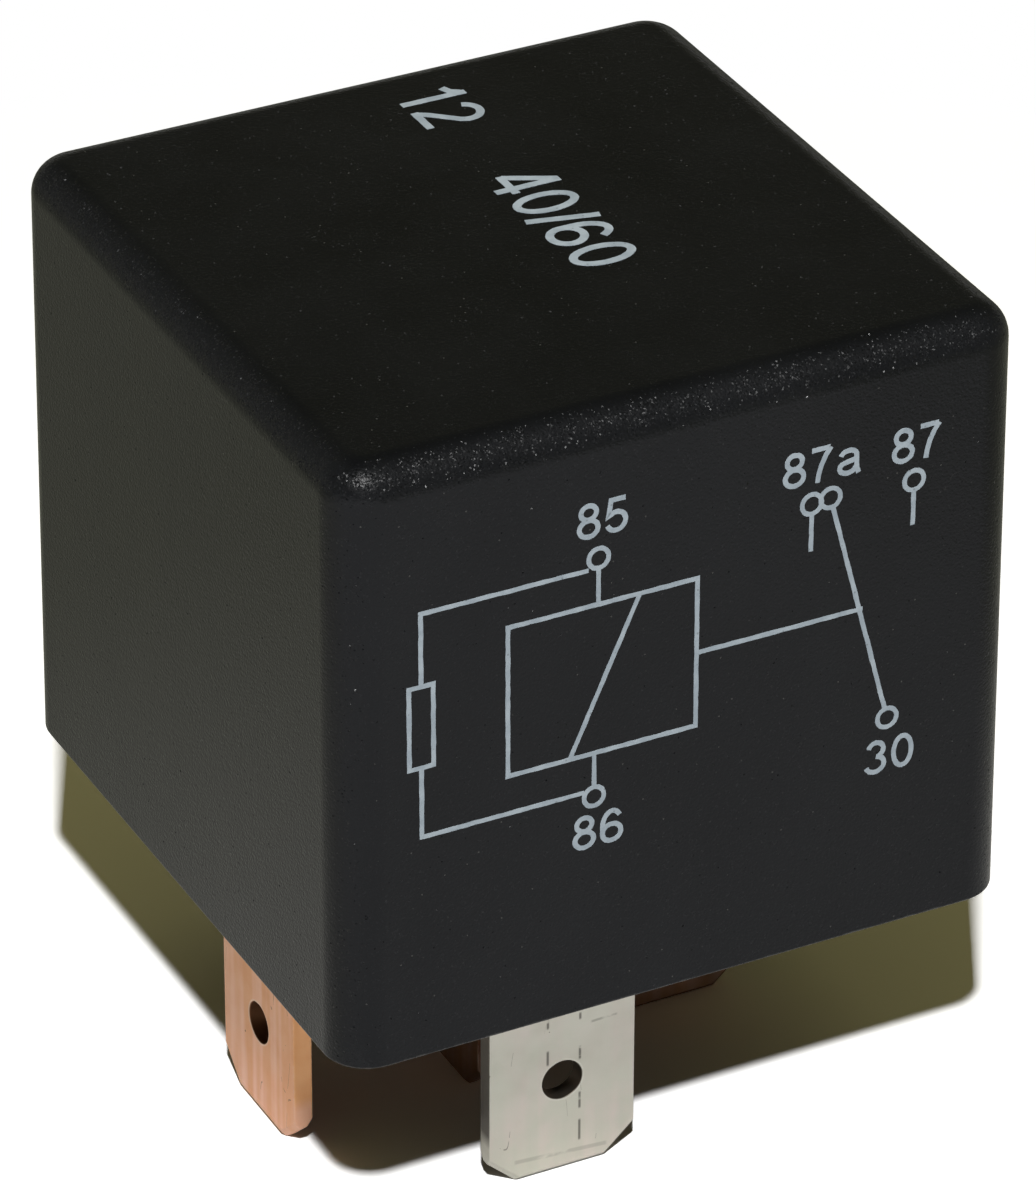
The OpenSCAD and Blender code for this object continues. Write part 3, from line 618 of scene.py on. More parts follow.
core_low, core_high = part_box("core")
CORE_FOOT = ((core_low.x + core_high.x) / 2, 0, core_low.z)
ACROSS = (0, 0, QUARTER)
FINISH = {
    "cover": cover_plastic(),
    "base": base_plastic(),
    "ink": print_ink(),
    "tin_85": tin_plate("Tin plate front", "terminal_85"),
    "tin_86": tin_plate("Tin plate back", "terminal_86"),
    "copper_87": bare_copper("Rolled copper 87", "terminal_87", ACROSS, "X"),
    # 87a and 30 stand in shadow under the cover: their colours carry painted shade
    "copper_87a": bare_copper("Rolled copper 87a", "terminal_87a", ACROSS, "X", SHADED_CUT, 0.5),
    "copper_30": bare_copper("Rolled copper 30", "terminal_30", (0, 0, 0), "Y", SHADED_CUT, 0.5),
    "yoke": zinc_iron("Zinc plated yoke", (0.56, 0.56, 0.52), (0.64, 0.62, 0.54)),
    "armature": zinc_iron("Zinc plated armature", (0.60, 0.60, 0.57), (0.68, 0.66, 0.60)),
    "core": zinc_iron("Soft iron core", (0.50, 0.49, 0.47), (0.58, 0.56, 0.52)),
    "bobbin": bobbin_plastic(),
    "winding": enamel_wire("Enamelled winding", (0.50, 0.17, 0.06), (0.62, 0.25, 0.10)),
    "wire": enamel_wire("Enamelled leads", (0.62, 0.27, 0.12), (0.70, 0.34, 0.17)),
    "leaf": spring_bronze(),
    "silver": contact_silver(),
    "rivet": plated_rivets(),
    "resistor": resistor_lacquer(),
    "lead": tinned_wire(),
}

# ---------- shapes ----------

FINE_MERGE = 1e-8
MERGE = 1e-7
HARD_ANGLE = 30
FLAT_ANGLE = 0.5


def linked(name, data):
    """A new object in the scene."""
    item = bpy.data.objects.new(name, data)
    bpy.context.scene.collection.objects.link(item)
    return item


def place_piece(name, mesh, finish, replaces=(), body="housing"):
    """A finished mesh as a piece that rides on a body, where one is given."""
    mesh.materials.clear()
    mesh.materials.append(FINISH[finish])
    piece = linked(name, mesh)
    if body:
        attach(piece, body)
    if replaces:
        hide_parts(*replaces)
    return piece


def cleaned(mesh, merge, smooth_angle=None, flatten=False):
    """Merges doubled points, then joins flat faces where asked, or else turns all faces outwards."""
    shape = bmesh.new()
    shape.from_mesh(mesh)
    bmesh.ops.remove_doubles(shape, verts=shape.verts, dist=merge)
    if flatten:
        bmesh.ops.dissolve_limit(
            shape, angle_limit=math.radians(FLAT_ANGLE), verts=shape.verts, edges=shape.edges)
    else:
        bmesh.ops.recalc_face_normals(shape, faces=shape.faces)
    shape.to_mesh(mesh)
    shape.free()
    return mesh if smooth_angle is None else smoothed(mesh, smooth_angle)


def smoothed(mesh, angle):
    """Shades the mesh smooth, but for edges sharper than the angle in degrees."""
    mesh.shade_smooth()
    mesh.set_sharp_from_angle(angle=math.radians(angle))
    return mesh


def mesh_from(name, vertices, faces, smooth_angle=None):
    """A mesh from points and faces, with its normals turned outwards."""
    mesh = bpy.data.meshes.new(name)
    mesh.from_pydata([tuple(v) for v in vertices], [], faces)
    return cleaned(mesh, FINE_MERGE, smooth_angle)


def dressed(node, name, finish, edge, body="housing"):
    """A finished copy of a CAD part, with its hard edges softened as tumbling or moulding leaves them."""
    mesh = frame["nodes"][node].data.copy()
    mesh.name = name
    piece = place_piece(name, cleaned(mesh, MERGE, HARD_ANGLE, flatten=True), finish, (node,), body)
    bevel = piece.modifiers.new("soft edges", "BEVEL")
    bevel.width = edge * MM
    bevel.segments = 2
    bevel.limit_method = "ANGLE"
    bevel.angle_limit = math.radians(HARD_ANGLE)
    bevel.harden_normals = True
    bevel.miter_outer = "MITER_ARC"
    return piece


def baked(piece):
    """The piece's evaluated shape as a plain mesh."""
    bpy.context.view_layer.update()
    graph = bpy.context.evaluated_depsgraph_get()
    return bpy.data.meshes.new_from_object(piece.evaluated_get(graph))


def rounded(corners, radius, steps=4):
    """An open profile with its inner corners rounded off."""
    corners = [Vector(corner) for corner in corners]
    path = [corners[0]]
    for before, corner, after in zip(corners, corners[1:], corners[2:]):
        cut = min(radius, (before - corner).length * 0.45, (after - corner).length * 0.45)
        first = corner + (before - corner).normalized() * cut
        last = corner + (after - corner).normalized() * cut
        for step in range(steps + 1):
            t = step / steps
            path.append(first.lerp(corner, t).lerp(corner.lerp(last, t), t))
    return path + [corners[-1]]


def turned(name, profile, place=Matrix.Identity(4), steps=56):
    """A turned shape: (radius, height) points in millimetres, from the lower middle to the upper."""
    vertices, faces, rings = [], [], []
    for radius, height in profile:
        count = steps if radius > 1e-6 else 1
        rings.append(range(len(vertices), len(vertices) + count))
        for i in range(count):
            a = 2 * math.pi * i / steps
            vertices.append(place @ (Vector((radius * math.cos(a), radius * math.sin(a), height)) * MM))
    for low, high in zip(rings, rings[1:]):
        for i in range(steps):
            j = i + 1
            corners = (low[i % len(low)], low[j % len(low)], high[j % len(high)], high[i % len(high)])
            faces.append(tuple(dict.fromkeys(corners)))
    return mesh_from(name, vertices, [face for face in faces if len(face) > 2], 32)


# ---------- geometry node trees for what repeats or follows a path ----------

SOCKETS = {tuple: "Vector", float: "Float", int: "Int"}


def shape_tree(name, build, **values):
    """A geometry tree with named values, or kinds where they have none. What build makes is painted."""
    tree = bpy.data.node_groups.new(name, "GeometryNodeTree")
    for label, value in {**values, "Finish": "Material"}.items():
        kind = SOCKETS.get(type(value), value)
        socket = tree.interface.new_socket(spaced(label), in_out="INPUT", socket_type=f"NodeSocket{kind}")
        if kind != value:
            socket.default_value = value
    tree.interface.new_socket("Geometry", in_out="OUTPUT", socket_type="NodeSocketGeometry")
    given = tree.nodes.new("NodeGroupInput").outputs
    real = made(tree, "GeometryNodeRealizeInstances", {"Geometry": build(tree, given)})
    painted = made(tree, "GeometryNodeSetMaterial", {"Geometry": real, "Material": given["Finish"]})
    tree.links.new(painted, tree.nodes.new("NodeGroupOutput").inputs[0])
    return tree


def ring_curve(tree, points, radius):
    return made(
        tree, "GeometryNodeCurvePrimitiveCircle", {"Resolution": points, "Radius": radius}, mode="RADIUS")


def swept(tree, curve, section, **more):
    return made(tree, "GeometryNodeCurveToMesh", {"Curve": curve, "Profile Curve": section, **more})


def moved(tree, shape, by):
    return made(tree, "GeometryNodeTransform", {"Geometry": shape, "Translation": by})


def wound_coil(tree, given):
    """Turns of wire side by side round an under-layer, so that the winding is closed."""
    half_wire = maths(tree, "MULTIPLY", given["Wire"], 0.5)
    path_radius = maths(tree, "SUBTRACT", given["Outer radius"], half_wire)
    rise = maths(tree, "SUBTRACT", given["Height"], given["Wire"])
    helix = made(tree, "GeometryNodeCurveSpiral", {
        "Resolution": given["Points per turn"], "Rotations": given["Turns"], "Start Radius": path_radius,
        "End Radius": path_radius, "Height": rise})
    section = ring_curve(tree, given["Wire sides"], maths(tree, "MULTIPLY", half_wire, 1.02))
    wire = moved(tree, swept(tree, helix, section, **{"Fill Caps": True}), joined(tree, Z=half_wire))
    # under-layer: a square section carried round the middle of the winding
    thick = maths(tree, "SUBTRACT", path_radius, given["Inner radius"])
    middle = maths(tree, "ADD", given["Inner radius"], maths(tree, "MULTIPLY", thick, 0.5))
    block = made(
        tree, "GeometryNodeCurvePrimitiveQuadrilateral", {"Width": thick, "Height": rise}, mode="RECTANGLE")
    centred = joined(tree, Z=maths(tree, "MULTIPLY", given["Height"], 0.5))
    under = moved(tree, swept(tree, ring_curve(tree, 72, middle), block), centred)
    both = tree.nodes.new("GeometryNodeJoinGeometry")
    for shape in (wire, under):
        tree.links.new(shape, both.inputs[0])
    return moved(tree, both.outputs[0], given["Place"])


def bent_wire(tree, given):
    """A round wire along its path, with its corners bent to a radius."""
    path = made(tree, "GeometryNodeMeshToCurve", {"Mesh": given["Path"]})
    bent = made(tree, "GeometryNodeFilletCurve", {
        "Curve": path, "Radius": given["Bend radius"], "Count": given["Bend points"], "Limit Radius": True},
        mode="POLY")
    section = ring_curve(tree, given["Sides"], maths(tree, "MULTIPLY", given["Thickness"], 0.5))
    return swept(tree, bent, section, **{"Fill Caps": True})


def fastener_row(tree, given):
    """Copies of one fastener at even steps along a line."""
    spread = {"Count": given["Count"], "Start Location": given["First place"], "Offset": given["Step"]}
    line = made(tree, "GeometryNodeMeshLine", spread, mode="OFFSET")
    turn = made(tree, "FunctionNodeEulerToRotation", {"Euler": given["Turn"]})
    return made(tree, "GeometryNodeInstanceOnPoints", {
        "Points": line, "Instance": given["Fastener"], "Rotation": turn})


ZERO = (0, 0, 0)
WOUND_COIL = shape_tree(
    "Wound coil", wound_coil, Place=ZERO, Outer_radius=7.2 * MM, Inner_radius=3.9 * MM, Height=10.9 * MM,
    Wire=0.25 * MM, Turns=43.0, Points_per_turn=44, Wire_sides=7)
BENT_WIRE = shape_tree(
    "Bent wire", bent_wire, Path="Geometry", Thickness=0.25 * MM, Bend_radius=0.3 * MM, Bend_points=4,
    Sides=12)
FASTENER_ROW = shape_tree(
    "Fastener row", fastener_row, Fastener="Geometry", Count=1, First_place=ZERO, Step=ZERO, Turn=ZERO)


def grown(name, tree, finish, source=None, smooth=32, **values):
    """The plain mesh that a geometry tree makes, with its inputs set by identifier before it first runs."""
    holder = linked(name, source or bpy.data.meshes.new(name + " start"))
    modifier = holder.modifiers.new(tree.name, "NODES")
    modifier.node_group = tree
    values["Finish"] = FINISH[finish]
    for item in tree.interface.items_tree:
        label = item.name.replace(" ", "_")
        if item.item_type == "SOCKET" and item.in_out == "INPUT" and label in values:
            modifier[item.identifier] = values[label]
    mesh = baked(holder)
    bpy.data.objects.remove(holder)
    mesh.name = name
    return cleaned(mesh, MERGE, smooth)


def make_wire(node, name, finish, points, thickness, bend, bend_points, sides):
    """A bent wire through points, all in millimetres, that stands for a CAD node."""
    path = bpy.data.meshes.new(name + " path")
    path.from_pydata([Vector(p) * MM for p in points], [(i, i + 1) for i in range(len(points) - 1)], [])
    mesh = grown(
        name, BENT_WIRE, finish, path, Thickness=thickness * MM, Bend_radius=bend * MM,
        Bend_points=bend_points, Sides=sides)
    place_piece(name, mesh, finish, (node,))


# ---------- cover ----------

CORNER_STEPS = 14
RIM_R = 0.14 * MM
LIP = 0.10 * MM
CAVITY_CORNER_R = EDGE_R - WALL


def round_ring(half_w, half_d, radius, z):
    """Points of a rectangle with round corners, at height z."""
    points = []
    for corner, (sx, sy) in enumerate([(1, 1), (-1, 1), (-1, -1), (1, -1)]):
        for step in range(CORNER_STEPS + 1):
            a = math.radians(90 * corner + 90 * step / CORNER_STEPS)
            points.append(Vector((
                sx * (half_w - radius) + radius * math.cos(a),
                sy * (half_d - radius) + radius * math.sin(a), z)))
    return points


def quarter(steps):
    """The cosine and sine at even steps over a right angle."""
    angles = [math.radians(90 * step / steps) for step in range(steps + 1)]
    return [(math.cos(a), math.sin(a)) for a in angles]


def cover_rings():
    """The cover from its ceiling down inside its cavity, round its rim and up over the outside."""
    rings = []
    in_w, in_d = HALF_W - WALL, HALF_D - WALL
    roof_z = TOP - ROOF
    in_pull = (roof_z - RIM) * math.tan(DRAFT)
    for level, rise in reversed(quarter(5)):
        inset = in_pull + INNER_R * (1 - level)
        corner = 0.7 * MM - 0.8 * (inset - in_pull)
        rings.append(round_ring(in_w - inset, in_d - inset, corner, roof_z - INNER_R * (1 - rise)))
    rings.append(round_ring(in_w, in_d, CAVITY_CORNER_R, RIM + LIP))
    rings.append(round_ring(in_w + LIP, in_d + LIP, CAVITY_CORNER_R + LIP, RIM))
    for level, rise in quarter(3):
        inset = RIM_R * (1 - rise)
        rings.append(round_ring(HALF_W - inset, HALF_D - inset, EDGE_R - inset, RIM + RIM_R * (1 - level)))
    pull = (TOP - RIM - TOP_R) * math.tan(DRAFT)
    for level, rise in quarter(14):
        inset = pull + TOP_R * (1 - level)
        rings.append(round_ring(
            HALF_W - inset, HALF_D - inset, EDGE_R - (inset - pull), TOP - TOP_R * (1 - rise)))
    return rings


def loft(rings):
    """Faces between rings of equally many points, with a cap at each end."""
    vertices = [p for ring in rings for p in ring]
    count = len(rings[0])
    faces = []
    for low in range(0, len(vertices) - count, count):
        for i in range(count):
            j = (i + 1) % count
            faces.append((low + i, low + j, low + count + j, low + count + i))
    return vertices, faces + [tuple(range(count)), tuple(range(len(vertices) - count, len(vertices)))]


def snap_windows():
    """Cutters for the two recesses inside the side walls that the base plate's nubs snap into."""
    shape = bmesh.new()
    deep, wide, high, up = 0.42 * MM, 4.3 * MM, 1.2 * MM, 1.55 * MM
    for side in (-1, 1):
        block = bmesh.ops.create_cube(shape, size=1)["verts"]
        bmesh.ops.scale(shape, vec=(2 * deep, wide, high), verts=block)
        bmesh.ops.translate(shape, vec=(side * (HALF_W - WALL), 0, RIM + up), verts=block)
    mesh = bpy.data.meshes.new("snap windows")
    shape.to_mesh(mesh)
    shape.free()
    return mesh


def make_cover():
    shell = linked("cover blank", mesh_from("cover blank", *loft(cover_rings())))
    cutter = linked("snap windows", snap_windows())
    cut = shell.modifiers.new("snap windows", "BOOLEAN")
    cut.operation = "DIFFERENCE"
    cut.object = cutter
    cut.solver = "EXACT"
    mesh = baked(shell)
    mesh.name = "cover_shell"
    for item in (shell, cutter):
        bpy.data.objects.remove(item)
    piece = place_piece("cover_shell", smoothed(mesh, 40), "cover", ("cover",))
    piece.modifiers.new("flat faces", "WEIGHTED_NORMAL").keep_sharp = True


make_cover()

# ---------- print on the cover ----------

PRINT_RAISE = 0.012 * MM
PRINT_SINK = 0.02 * MM
CROSSING_STEP = 0.0006 * MM
LINE = 0.19
DIGIT_LINE = 0.12
rough_edge = random.Random(7)


def arc(cx, cy, rx, ry, start, end, steps=None):
    """Points on an elliptic arc, angles in degrees."""
    steps = steps or max(6, int(abs(end - start) / 12))
    spread = [math.radians(start + (end - start) * i / steps) for i in range(steps + 1)]
    return [(cx + rx * math.cos(a), cy + ry * math.sin(a)) for a in spread]


def divided(points, closed, step):
    """The path's points with long stretches divided, so that an ink edge can waver."""
    path = []
    count = len(points)
    for i in range(count if closed else count - 1):
        a, b = Vector(points[i]), Vector(points[(i + 1) % count])
        parts = max(1, int((b - a).length / step))
        path += [a.lerp(b, k / parts) for k in range(parts)]
    return path if closed else path + [Vector(points[-1])]


def ribbon(points, width, closed, step, waver):
    """Left and right edge points of a printed line, mitred at its corners, with a slightly uneven edge."""
    path = divided(points, closed, step)
    count = len(path)
    left, right = [], []
    for i, p in enumerate(path):
        before = path[i - 1] if (closed or i > 0) else None
        after = path[(i + 1) % count] if (closed or i < count - 1) else None
        d0 = (p - before).normalized() if before is not None else (after - p).normalized()
        d1 = (after - p).normalized() if after is not None else d0
        across = Vector((-(d0 + d1).y, (d0 + d1).x)).normalized()
        half = width / 2 / max(0.5, across.dot(Vector((-d1.y, d1.x))))
        left.append(p + across * (half + rough_edge.uniform(-waver, waver)))
        right.append(p - across * (half + rough_edge.uniform(-waver, waver)))
    return left, right


class Print:
    """Printed lines gathered into one thin solid on a face. to_face gives a point's place and its normal."""

    def __init__(self, to_face, raised=PRINT_RAISE):
        self.to_face = to_face
        self.raised = raised
        self.vertices = []
        self.faces = []
        self.count = 0

    def line(self, points, width, closed=False, step=0.3, waver=0.012):
        left, right = ribbon(points, width, closed, step, waver)
        # each line is a hair thicker than the last, so that crossing lines don't share a plane
        top = self.raised + CROSSING_STEP * (self.count % 8)
        self.count += 1
        start = len(self.vertices)
        for a, b in zip(left, right):
            for flat, lift in ((a, top), (b, top), (b, -PRINT_SINK), (a, -PRINT_SINK)):
                place, normal = self.to_face(flat.x, flat.y)
                self.vertices.append(place + normal * lift)
        count = len(left)
        for i in range(count if closed else count - 1):
            here, there = start + 4 * i, start + 4 * ((i + 1) % count)
            for k in range(4):
                self.faces.append((here + k, here + (k + 1) % 4, there + (k + 1) % 4, there + k))
        if not closed:
            last = start + 4 * (count - 1)
            self.faces += [(start, start + 1, start + 2, start + 3), (last + 3, last + 2, last + 1, last)]

    def finish(self, name, finish="ink", slot="cover"):
        place_piece(name, mesh_from(name, self.vertices, self.faces), finish)


def closed_ring(*sizes):
    """A whole ellipse as a closed stroke, from its top."""
    return arc(*sizes, 90, 450)[:-1], True


def stroke(*points):
    return list(points), False


# strokes of the plain printed figures, one unit high, each as its points and whether it is closed
FIGURES = {
    "0": [closed_ring(0.30, 0.50, 0.225, 0.43)],
    "1": [stroke((0.37, 1.0), (0.37, 0.0)), stroke((0.13, 0.745), (0.27, 0.80), (0.35, 0.93))],
    "2": [stroke(*arc(0.30, 0.71, 0.22, 0.23, 165, -38), (0.17, 0.22), (0.075, 0.06)),
          stroke((0.03, 0.062), (0.55, 0.062))],
    "3": [stroke(*arc(0.29, 0.72, 0.19, 0.21, 165, -80)), stroke(*arc(0.28, 0.295, 0.225, 0.225, 85, -165))],
    "4": [stroke((0.415, 0.96), (0.075, 0.27)), stroke((0.035, 0.255), (0.57, 0.255)),
          stroke((0.43, 0.0), (0.43, 0.99))],
    "5": [stroke((0.51, 0.925), (0.165, 0.925), (0.105, 0.50),
                 *arc(0.29, 0.325, 0.225, 0.255, 140, -160)[1:])],
    "6": [stroke(*arc(0.31, 0.50, 0.235, 0.43, 38, 180), (0.075, 0.32)),
          closed_ring(0.30, 0.31, 0.225, 0.24)],
    "7": [stroke((0.05, 0.925), (0.50, 0.925)),
          stroke((0.52, 0.925), (0.40, 0.74), (0.29, 0.48), (0.225, 0.22), (0.20, 0.0))],
    "8": [closed_ring(0.30, 0.735, 0.185, 0.195), closed_ring(0.30, 0.295, 0.225, 0.225)],
    "a": [stroke(*arc(0.29, 0.52, 0.20, 0.165, 165, 0), (0.49, 0.16), (0.54, 0.0)),
          stroke((0.48, 0.405), (0.30, 0.375), *arc(0.27, 0.215, 0.20, 0.155, 110, 320)[1:], (0.48, 0.21))],
    "/": [stroke((0.03, -0.02), (0.27, 1.0))],
}
ADVANCE = {"1": 0.62, "/": 0.33}
FULL_ADVANCE = 0.67
LAST_GAP = 0.07


def write_figures(page, figures, x, y, height, centred=True, width=None):
    """Prints figures with their baseline at y and their middle or start at x. Width is that of a unit."""
    width = width or height
    advances = [ADVANCE.get(sign, FULL_ADVANCE) for sign in figures]
    start = x - width * (sum(advances) - LAST_GAP) / 2 if centred else x
    for sign, advance in zip(figures, advances):
        for points, closed in FIGURES[sign]:
            placed = [(start + width * px, y + height * py) for px, py in points]
            page.line(placed, DIGIT_LINE * width, closed, step=0.25, waver=0.008)
        start += width * advance


def front_face(x, z):
    """A place on the diagram face, from millimetres across and above the rim, and its normal."""
    place = Vector((x * MM, -HALF_D + z * MM * math.tan(DRAFT), RIM + z * MM))
    return place, Vector((0, -math.cos(DRAFT), math.sin(DRAFT)))


def make_diagram():
    """The wiring diagram: coil with its resistor, and the changeover contact."""
    page = Print(front_face)
    ring = 0.41
    loop_x, loop_top, loop_low = -10.89, 19.15, 9.69
    box_low, box_high, box_half = 12.67, 16.10, 0.49
    coil_left, coil_right, coil_low, coil_high = -7.38, 0.38, 11.30, 17.62
    stub_85, stub_86, circle_85, circle_86 = -3.70, -3.83, 19.56, 9.42
    link_z, link_x = 14.44, 7.36
    arm_top, arm_low = Vector((5.88, 19.56)), Vector((8.55, 9.36))
    nc_spot, no_spot, stub_low = (5.10, 19.50), (9.40, 19.40), 17.50

    def box(left, right, low, high):
        page.line([(left, low), (right, low), (right, high), (left, high)], LINE, True)

    page.line([(stub_85 - ring, loop_top), (loop_x, loop_top), (loop_x, box_high)], LINE)
    page.line([(loop_x, box_low), (loop_x, loop_low), (stub_86 - ring, loop_low)], LINE)
    box(loop_x - box_half, loop_x + box_half, box_low, box_high)
    box(coil_left, coil_right, coil_low, coil_high)
    page.line([(-2.00, coil_high), (-4.84, coil_low)], LINE)
    page.line([(stub_85, circle_85 - ring), (stub_85, coil_high)], LINE)
    page.line([(stub_86, coil_low), (stub_86, circle_86 + ring)], LINE)
    page.line([(coil_right, link_z), (link_x, link_z)], LINE)
    lean = (arm_low - arm_top).normalized()
    page.line([arm_top + lean * ring, arm_low - lean * ring], LINE)
    for x, z in ((stub_85, circle_85), (stub_86, circle_86), arm_top, arm_low, nc_spot, no_spot):
        page.line(arc(x, z, ring, ring, 0, 360, 28)[:-1], LINE, True, waver=0.008)
    for x, z in (nc_spot, no_spot):
        page.line([(x, z - ring), (x, stub_low)], LINE)
    page.finish("diagram_print")


def make_terminal_numbers():
    page = Print(front_face)
    height, width = 1.50, 1.70
    for figures, x, middle in (("85", -3.55, 21.20), ("86", -3.65, 7.94), ("30", 8.70, 7.72),
                               ("87a", 5.48, 21.10), ("87", 9.47, 20.97)):
        write_figures(page, figures, x, middle - height / 2, height, width=width)
    page.finish("terminal_numbers_print")


def top_face(along, up):
    """A place on the top face: the figures run towards -Y, with their tops towards +X."""
    return Vector((up * MM, -along * MM, TOP)), Vector((0, 0, 1))


def make_top_numbers():
    page = Print(top_face)
    for figures, start in (("12", -11.76), ("40/60", -3.92)):
        write_figures(page, figures, start, 0.70, 2.75, centred=False)
    page.finish("top_numbers_print")


make_diagram()
make_terminal_numbers()
make_top_numbers()

# ---------- base plate and blades ----------


def underside(x, y):
    """A place under the base plate, seen from below: along X, with the figures' tops towards -Y."""
    return Vector((x * MM, -y * MM, BASE_LOW)), Vector((0, 0, -1))


def make_moulded_numbers():
    """Plain terminal numbers moulded beside the blades on the underside of the base plate."""
    page = Print(underside, raised=0.12 * MM)
    height = 1.5
    side_blades = {"87": -10.6, "87a": -2.6}
    on_middle_line = ("87", "87a", "30")
    for figures, right, down in (
            ("85", 4.6, 0), ("86", 4.6, 0), ("30", 2.1, 2.2), ("87a", 2.2, 0), ("87", 1.75, 0)):
        low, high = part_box("terminal_" + figures)
        x = side_blades.get(figures, (low.x + high.x) / 2 / MM) + right
        y = 0.0 if figures in on_middle_line else -(low.y + high.y) / 2 / MM
        write_figures(page, figures, x, y - down - height / 2, height)
    page.finish("moulded_numbers", "base", "base")


dressed("base_plate", "base_moulding", "base", 0.08)
make_moulded_numbers()
for number, metal in (("85", "tin"), ("86", "tin"), ("87", "copper"), ("87a", "copper"), ("30", "copper")):
    dressed("terminal_" + number, "blade_" + number, f"{metal}_{number}", 0.06)

# ---------- magnet ----------

WIRE = 0.25
winding_low, winding_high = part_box("coil_winding")
COIL_X = (winding_low.x + winding_high.x) / 2 / MM
COIL_RADIUS = winding_high.y / MM
BARREL_RADIUS = 3.82


def make_core():
    """The turned core: its riveted foot, its shank and the broad pole face with a rounded rim."""
    low, high = core_low.z / MM, core_high.z / MM
    foot, shank = (core_low.z + 1.6 * MM) / MM, high - 0.9
    foot_r, shank_r, pole_r = 2.3, 3.0, 4.2
    profile = [(0, low + 0.12), (0.6, low + 0.12), (1.0, low), (foot_r, low), (foot_r, foot), (shank_r, foot),
               (shank_r, shank), (pole_r, shank), (pole_r, high), (0, high)]
    mesh = turned("core_turned", rounded(profile, 0.22), Matrix.Translation((COIL_X * MM, 0, 0)), 72)
    place_piece("core_turned", mesh, "core", ("core",))


def make_winding():
    height = winding_high.z - winding_low.z
    mesh = grown(
        "winding_turns", WOUND_COIL, "winding", smooth=50,
        Place=(COIL_X * MM, 0, winding_low.z), Outer_radius=COIL_RADIUS * MM, Inner_radius=BARREL_RADIUS * MM,
        Height=height, Wire=WIRE * MM, Turns=float(int(height / MM / WIRE - 1)), Points_per_turn=44,
        Wire_sides=7)
    place_piece("winding_turns", mesh, "winding", ("coil_winding",))


def make_winding_end(number, side):
    """A winding end: it leaves the coil, crosses to its blade's post and is wrapped round it."""
    node = "coil_lead_" + number
    low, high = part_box(node)
    post_half_x, post_half_y, post_y = 1.0, 0.4, 8.4
    post_x = (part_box("terminal_85")[0].x / MM + 0.15) + post_half_x
    hug = COIL_RADIUS + WIRE / 2 + 0.03
    top = high.z / MM - WIRE / 2
    arrive = low.z / MM + WIRE / 2
    half_x, half_y = post_half_x + WIRE / 2 + 0.02, post_half_y + WIRE / 2 + 0.02
    path = []
    for degrees in (178, 174.5, 171, 167.5, 164):
        a = math.radians(degrees)
        path.append((COIL_X + hug * math.cos(a), side * hug * math.sin(a), top))
    corners = [(half_x, -half_y), (half_x, half_y), (-half_x, half_y), (-half_x, -half_y)]
    path.append((post_x - 0.55, side * (post_y - half_y), arrive))
    for turn in range(10):
        x, y = corners[turn % 4]
        path.append((post_x + x, side * (post_y + y), arrive + WIRE * 0.25 * (turn + 0.5) * 0.8))
    make_wire(node, "winding_end_" + number, "wire", path, WIRE, 0.12, 3, 10)


dressed("yoke", "yoke_plated", "yoke", 0.1)
make_core()
dressed("bobbin", "bobbin_moulding", "bobbin", 0.12)
make_winding()
make_winding_end("85", -1)
make_winding_end("86", 1)

# ---------- armature group ----------

hinge = frame["joints"][0]
HINGE = Vector(hinge["pos_m"])
SWING = math.radians(hinge["range_deg"][1])
AT_REST = Matrix.Translation(HINGE) @ Matrix.Rotation(SWING, 4, "Y")
ARMATURE_T = 1.3
LEAF_T = 0.25
YOKE_T = 1.6
BLADE_T = 0.8
SHANK_R = 0.55


def rivet(shank, top):
    """Profile of a rivet: its shank, then a low domed head that sits at a height."""
    radius, crown, rim = 0.95, 0.45, 0.10
    dome = [(radius * math.cos(math.radians(a)), top + rim + (crown - rim) * math.sin(math.radians(a)))
            for a in (15, 30, 45, 60, 75)]
    return shank + [(SHANK_R, top), (radius, top), (radius, top + rim)] + dome + [(0, top + crown)]


def make_rivets(name, nodes, profile, first, turn, body="housing"):
    """One or two rivets of a kind, set in a row along Y at the pitch of their CAD nodes."""
    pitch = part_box(nodes[-1])[0].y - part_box(nodes[0])[0].y
    mesh = grown(
        name, FASTENER_ROW, "rivet", turned(name + " one", profile, steps=36), Count=len(nodes),
        First_place=first, Step=(0, pitch, 0), Turn=(0, turn, 0))
    place_piece(name, mesh, "rivet", nodes, body)


def make_all_rivets():
    middle = box_middle("armature_rivet_front")
    stack = ARMATURE_T + LEAF_T
    closed_tail = [
        (0, -0.34), (0.30, -0.34), (0.52, -0.40), (0.66, -0.34), (0.78, -0.06), (0.78, 0.0), (SHANK_R, 0.0)]
    # the row is set out on the tilted armature: from the hinge back to the rivets, then along Y
    back = AT_REST @ Vector((-(HINGE.x - 7.3 * MM), 0, 0))
    back.x = middle.x - 0.5 * stack * MM * math.sin(SWING)
    make_rivets(
        "armature_rivets", ("armature_rivet_front", "armature_rivet_back"), rivet(closed_tail, stack),
        (back.x, middle.y, back.z), SWING, "armature_group")
    for name, nodes, top in (
            ("spring_rivets", ("spring_rivet_front", "spring_rivet_back"), YOKE_T + LEAF_T),
            ("common_rivets", ("common_rivet",), YOKE_T + BLADE_T)):
        middle = box_middle(nodes[0])
        first = (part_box(nodes[0])[0].x, middle.y, middle.z)
        make_rivets(name, nodes, rivet([(0, 0), (SHANK_R, 0)], top), first, QUARTER)


def button(radius, height, base, slope=0.15, crown=0.06):
    """Profile of a contact button from its seat up to its lightly crowned face."""
    rim = radius - slope
    return [(radius, base), (radius - 0.02, base + 0.08), (rim + 0.02, base + height - crown - 0.10),
            (rim - 0.10, base + height - crown), (rim * 0.6, base + height - crown * 0.35),
            (0, base + height)]


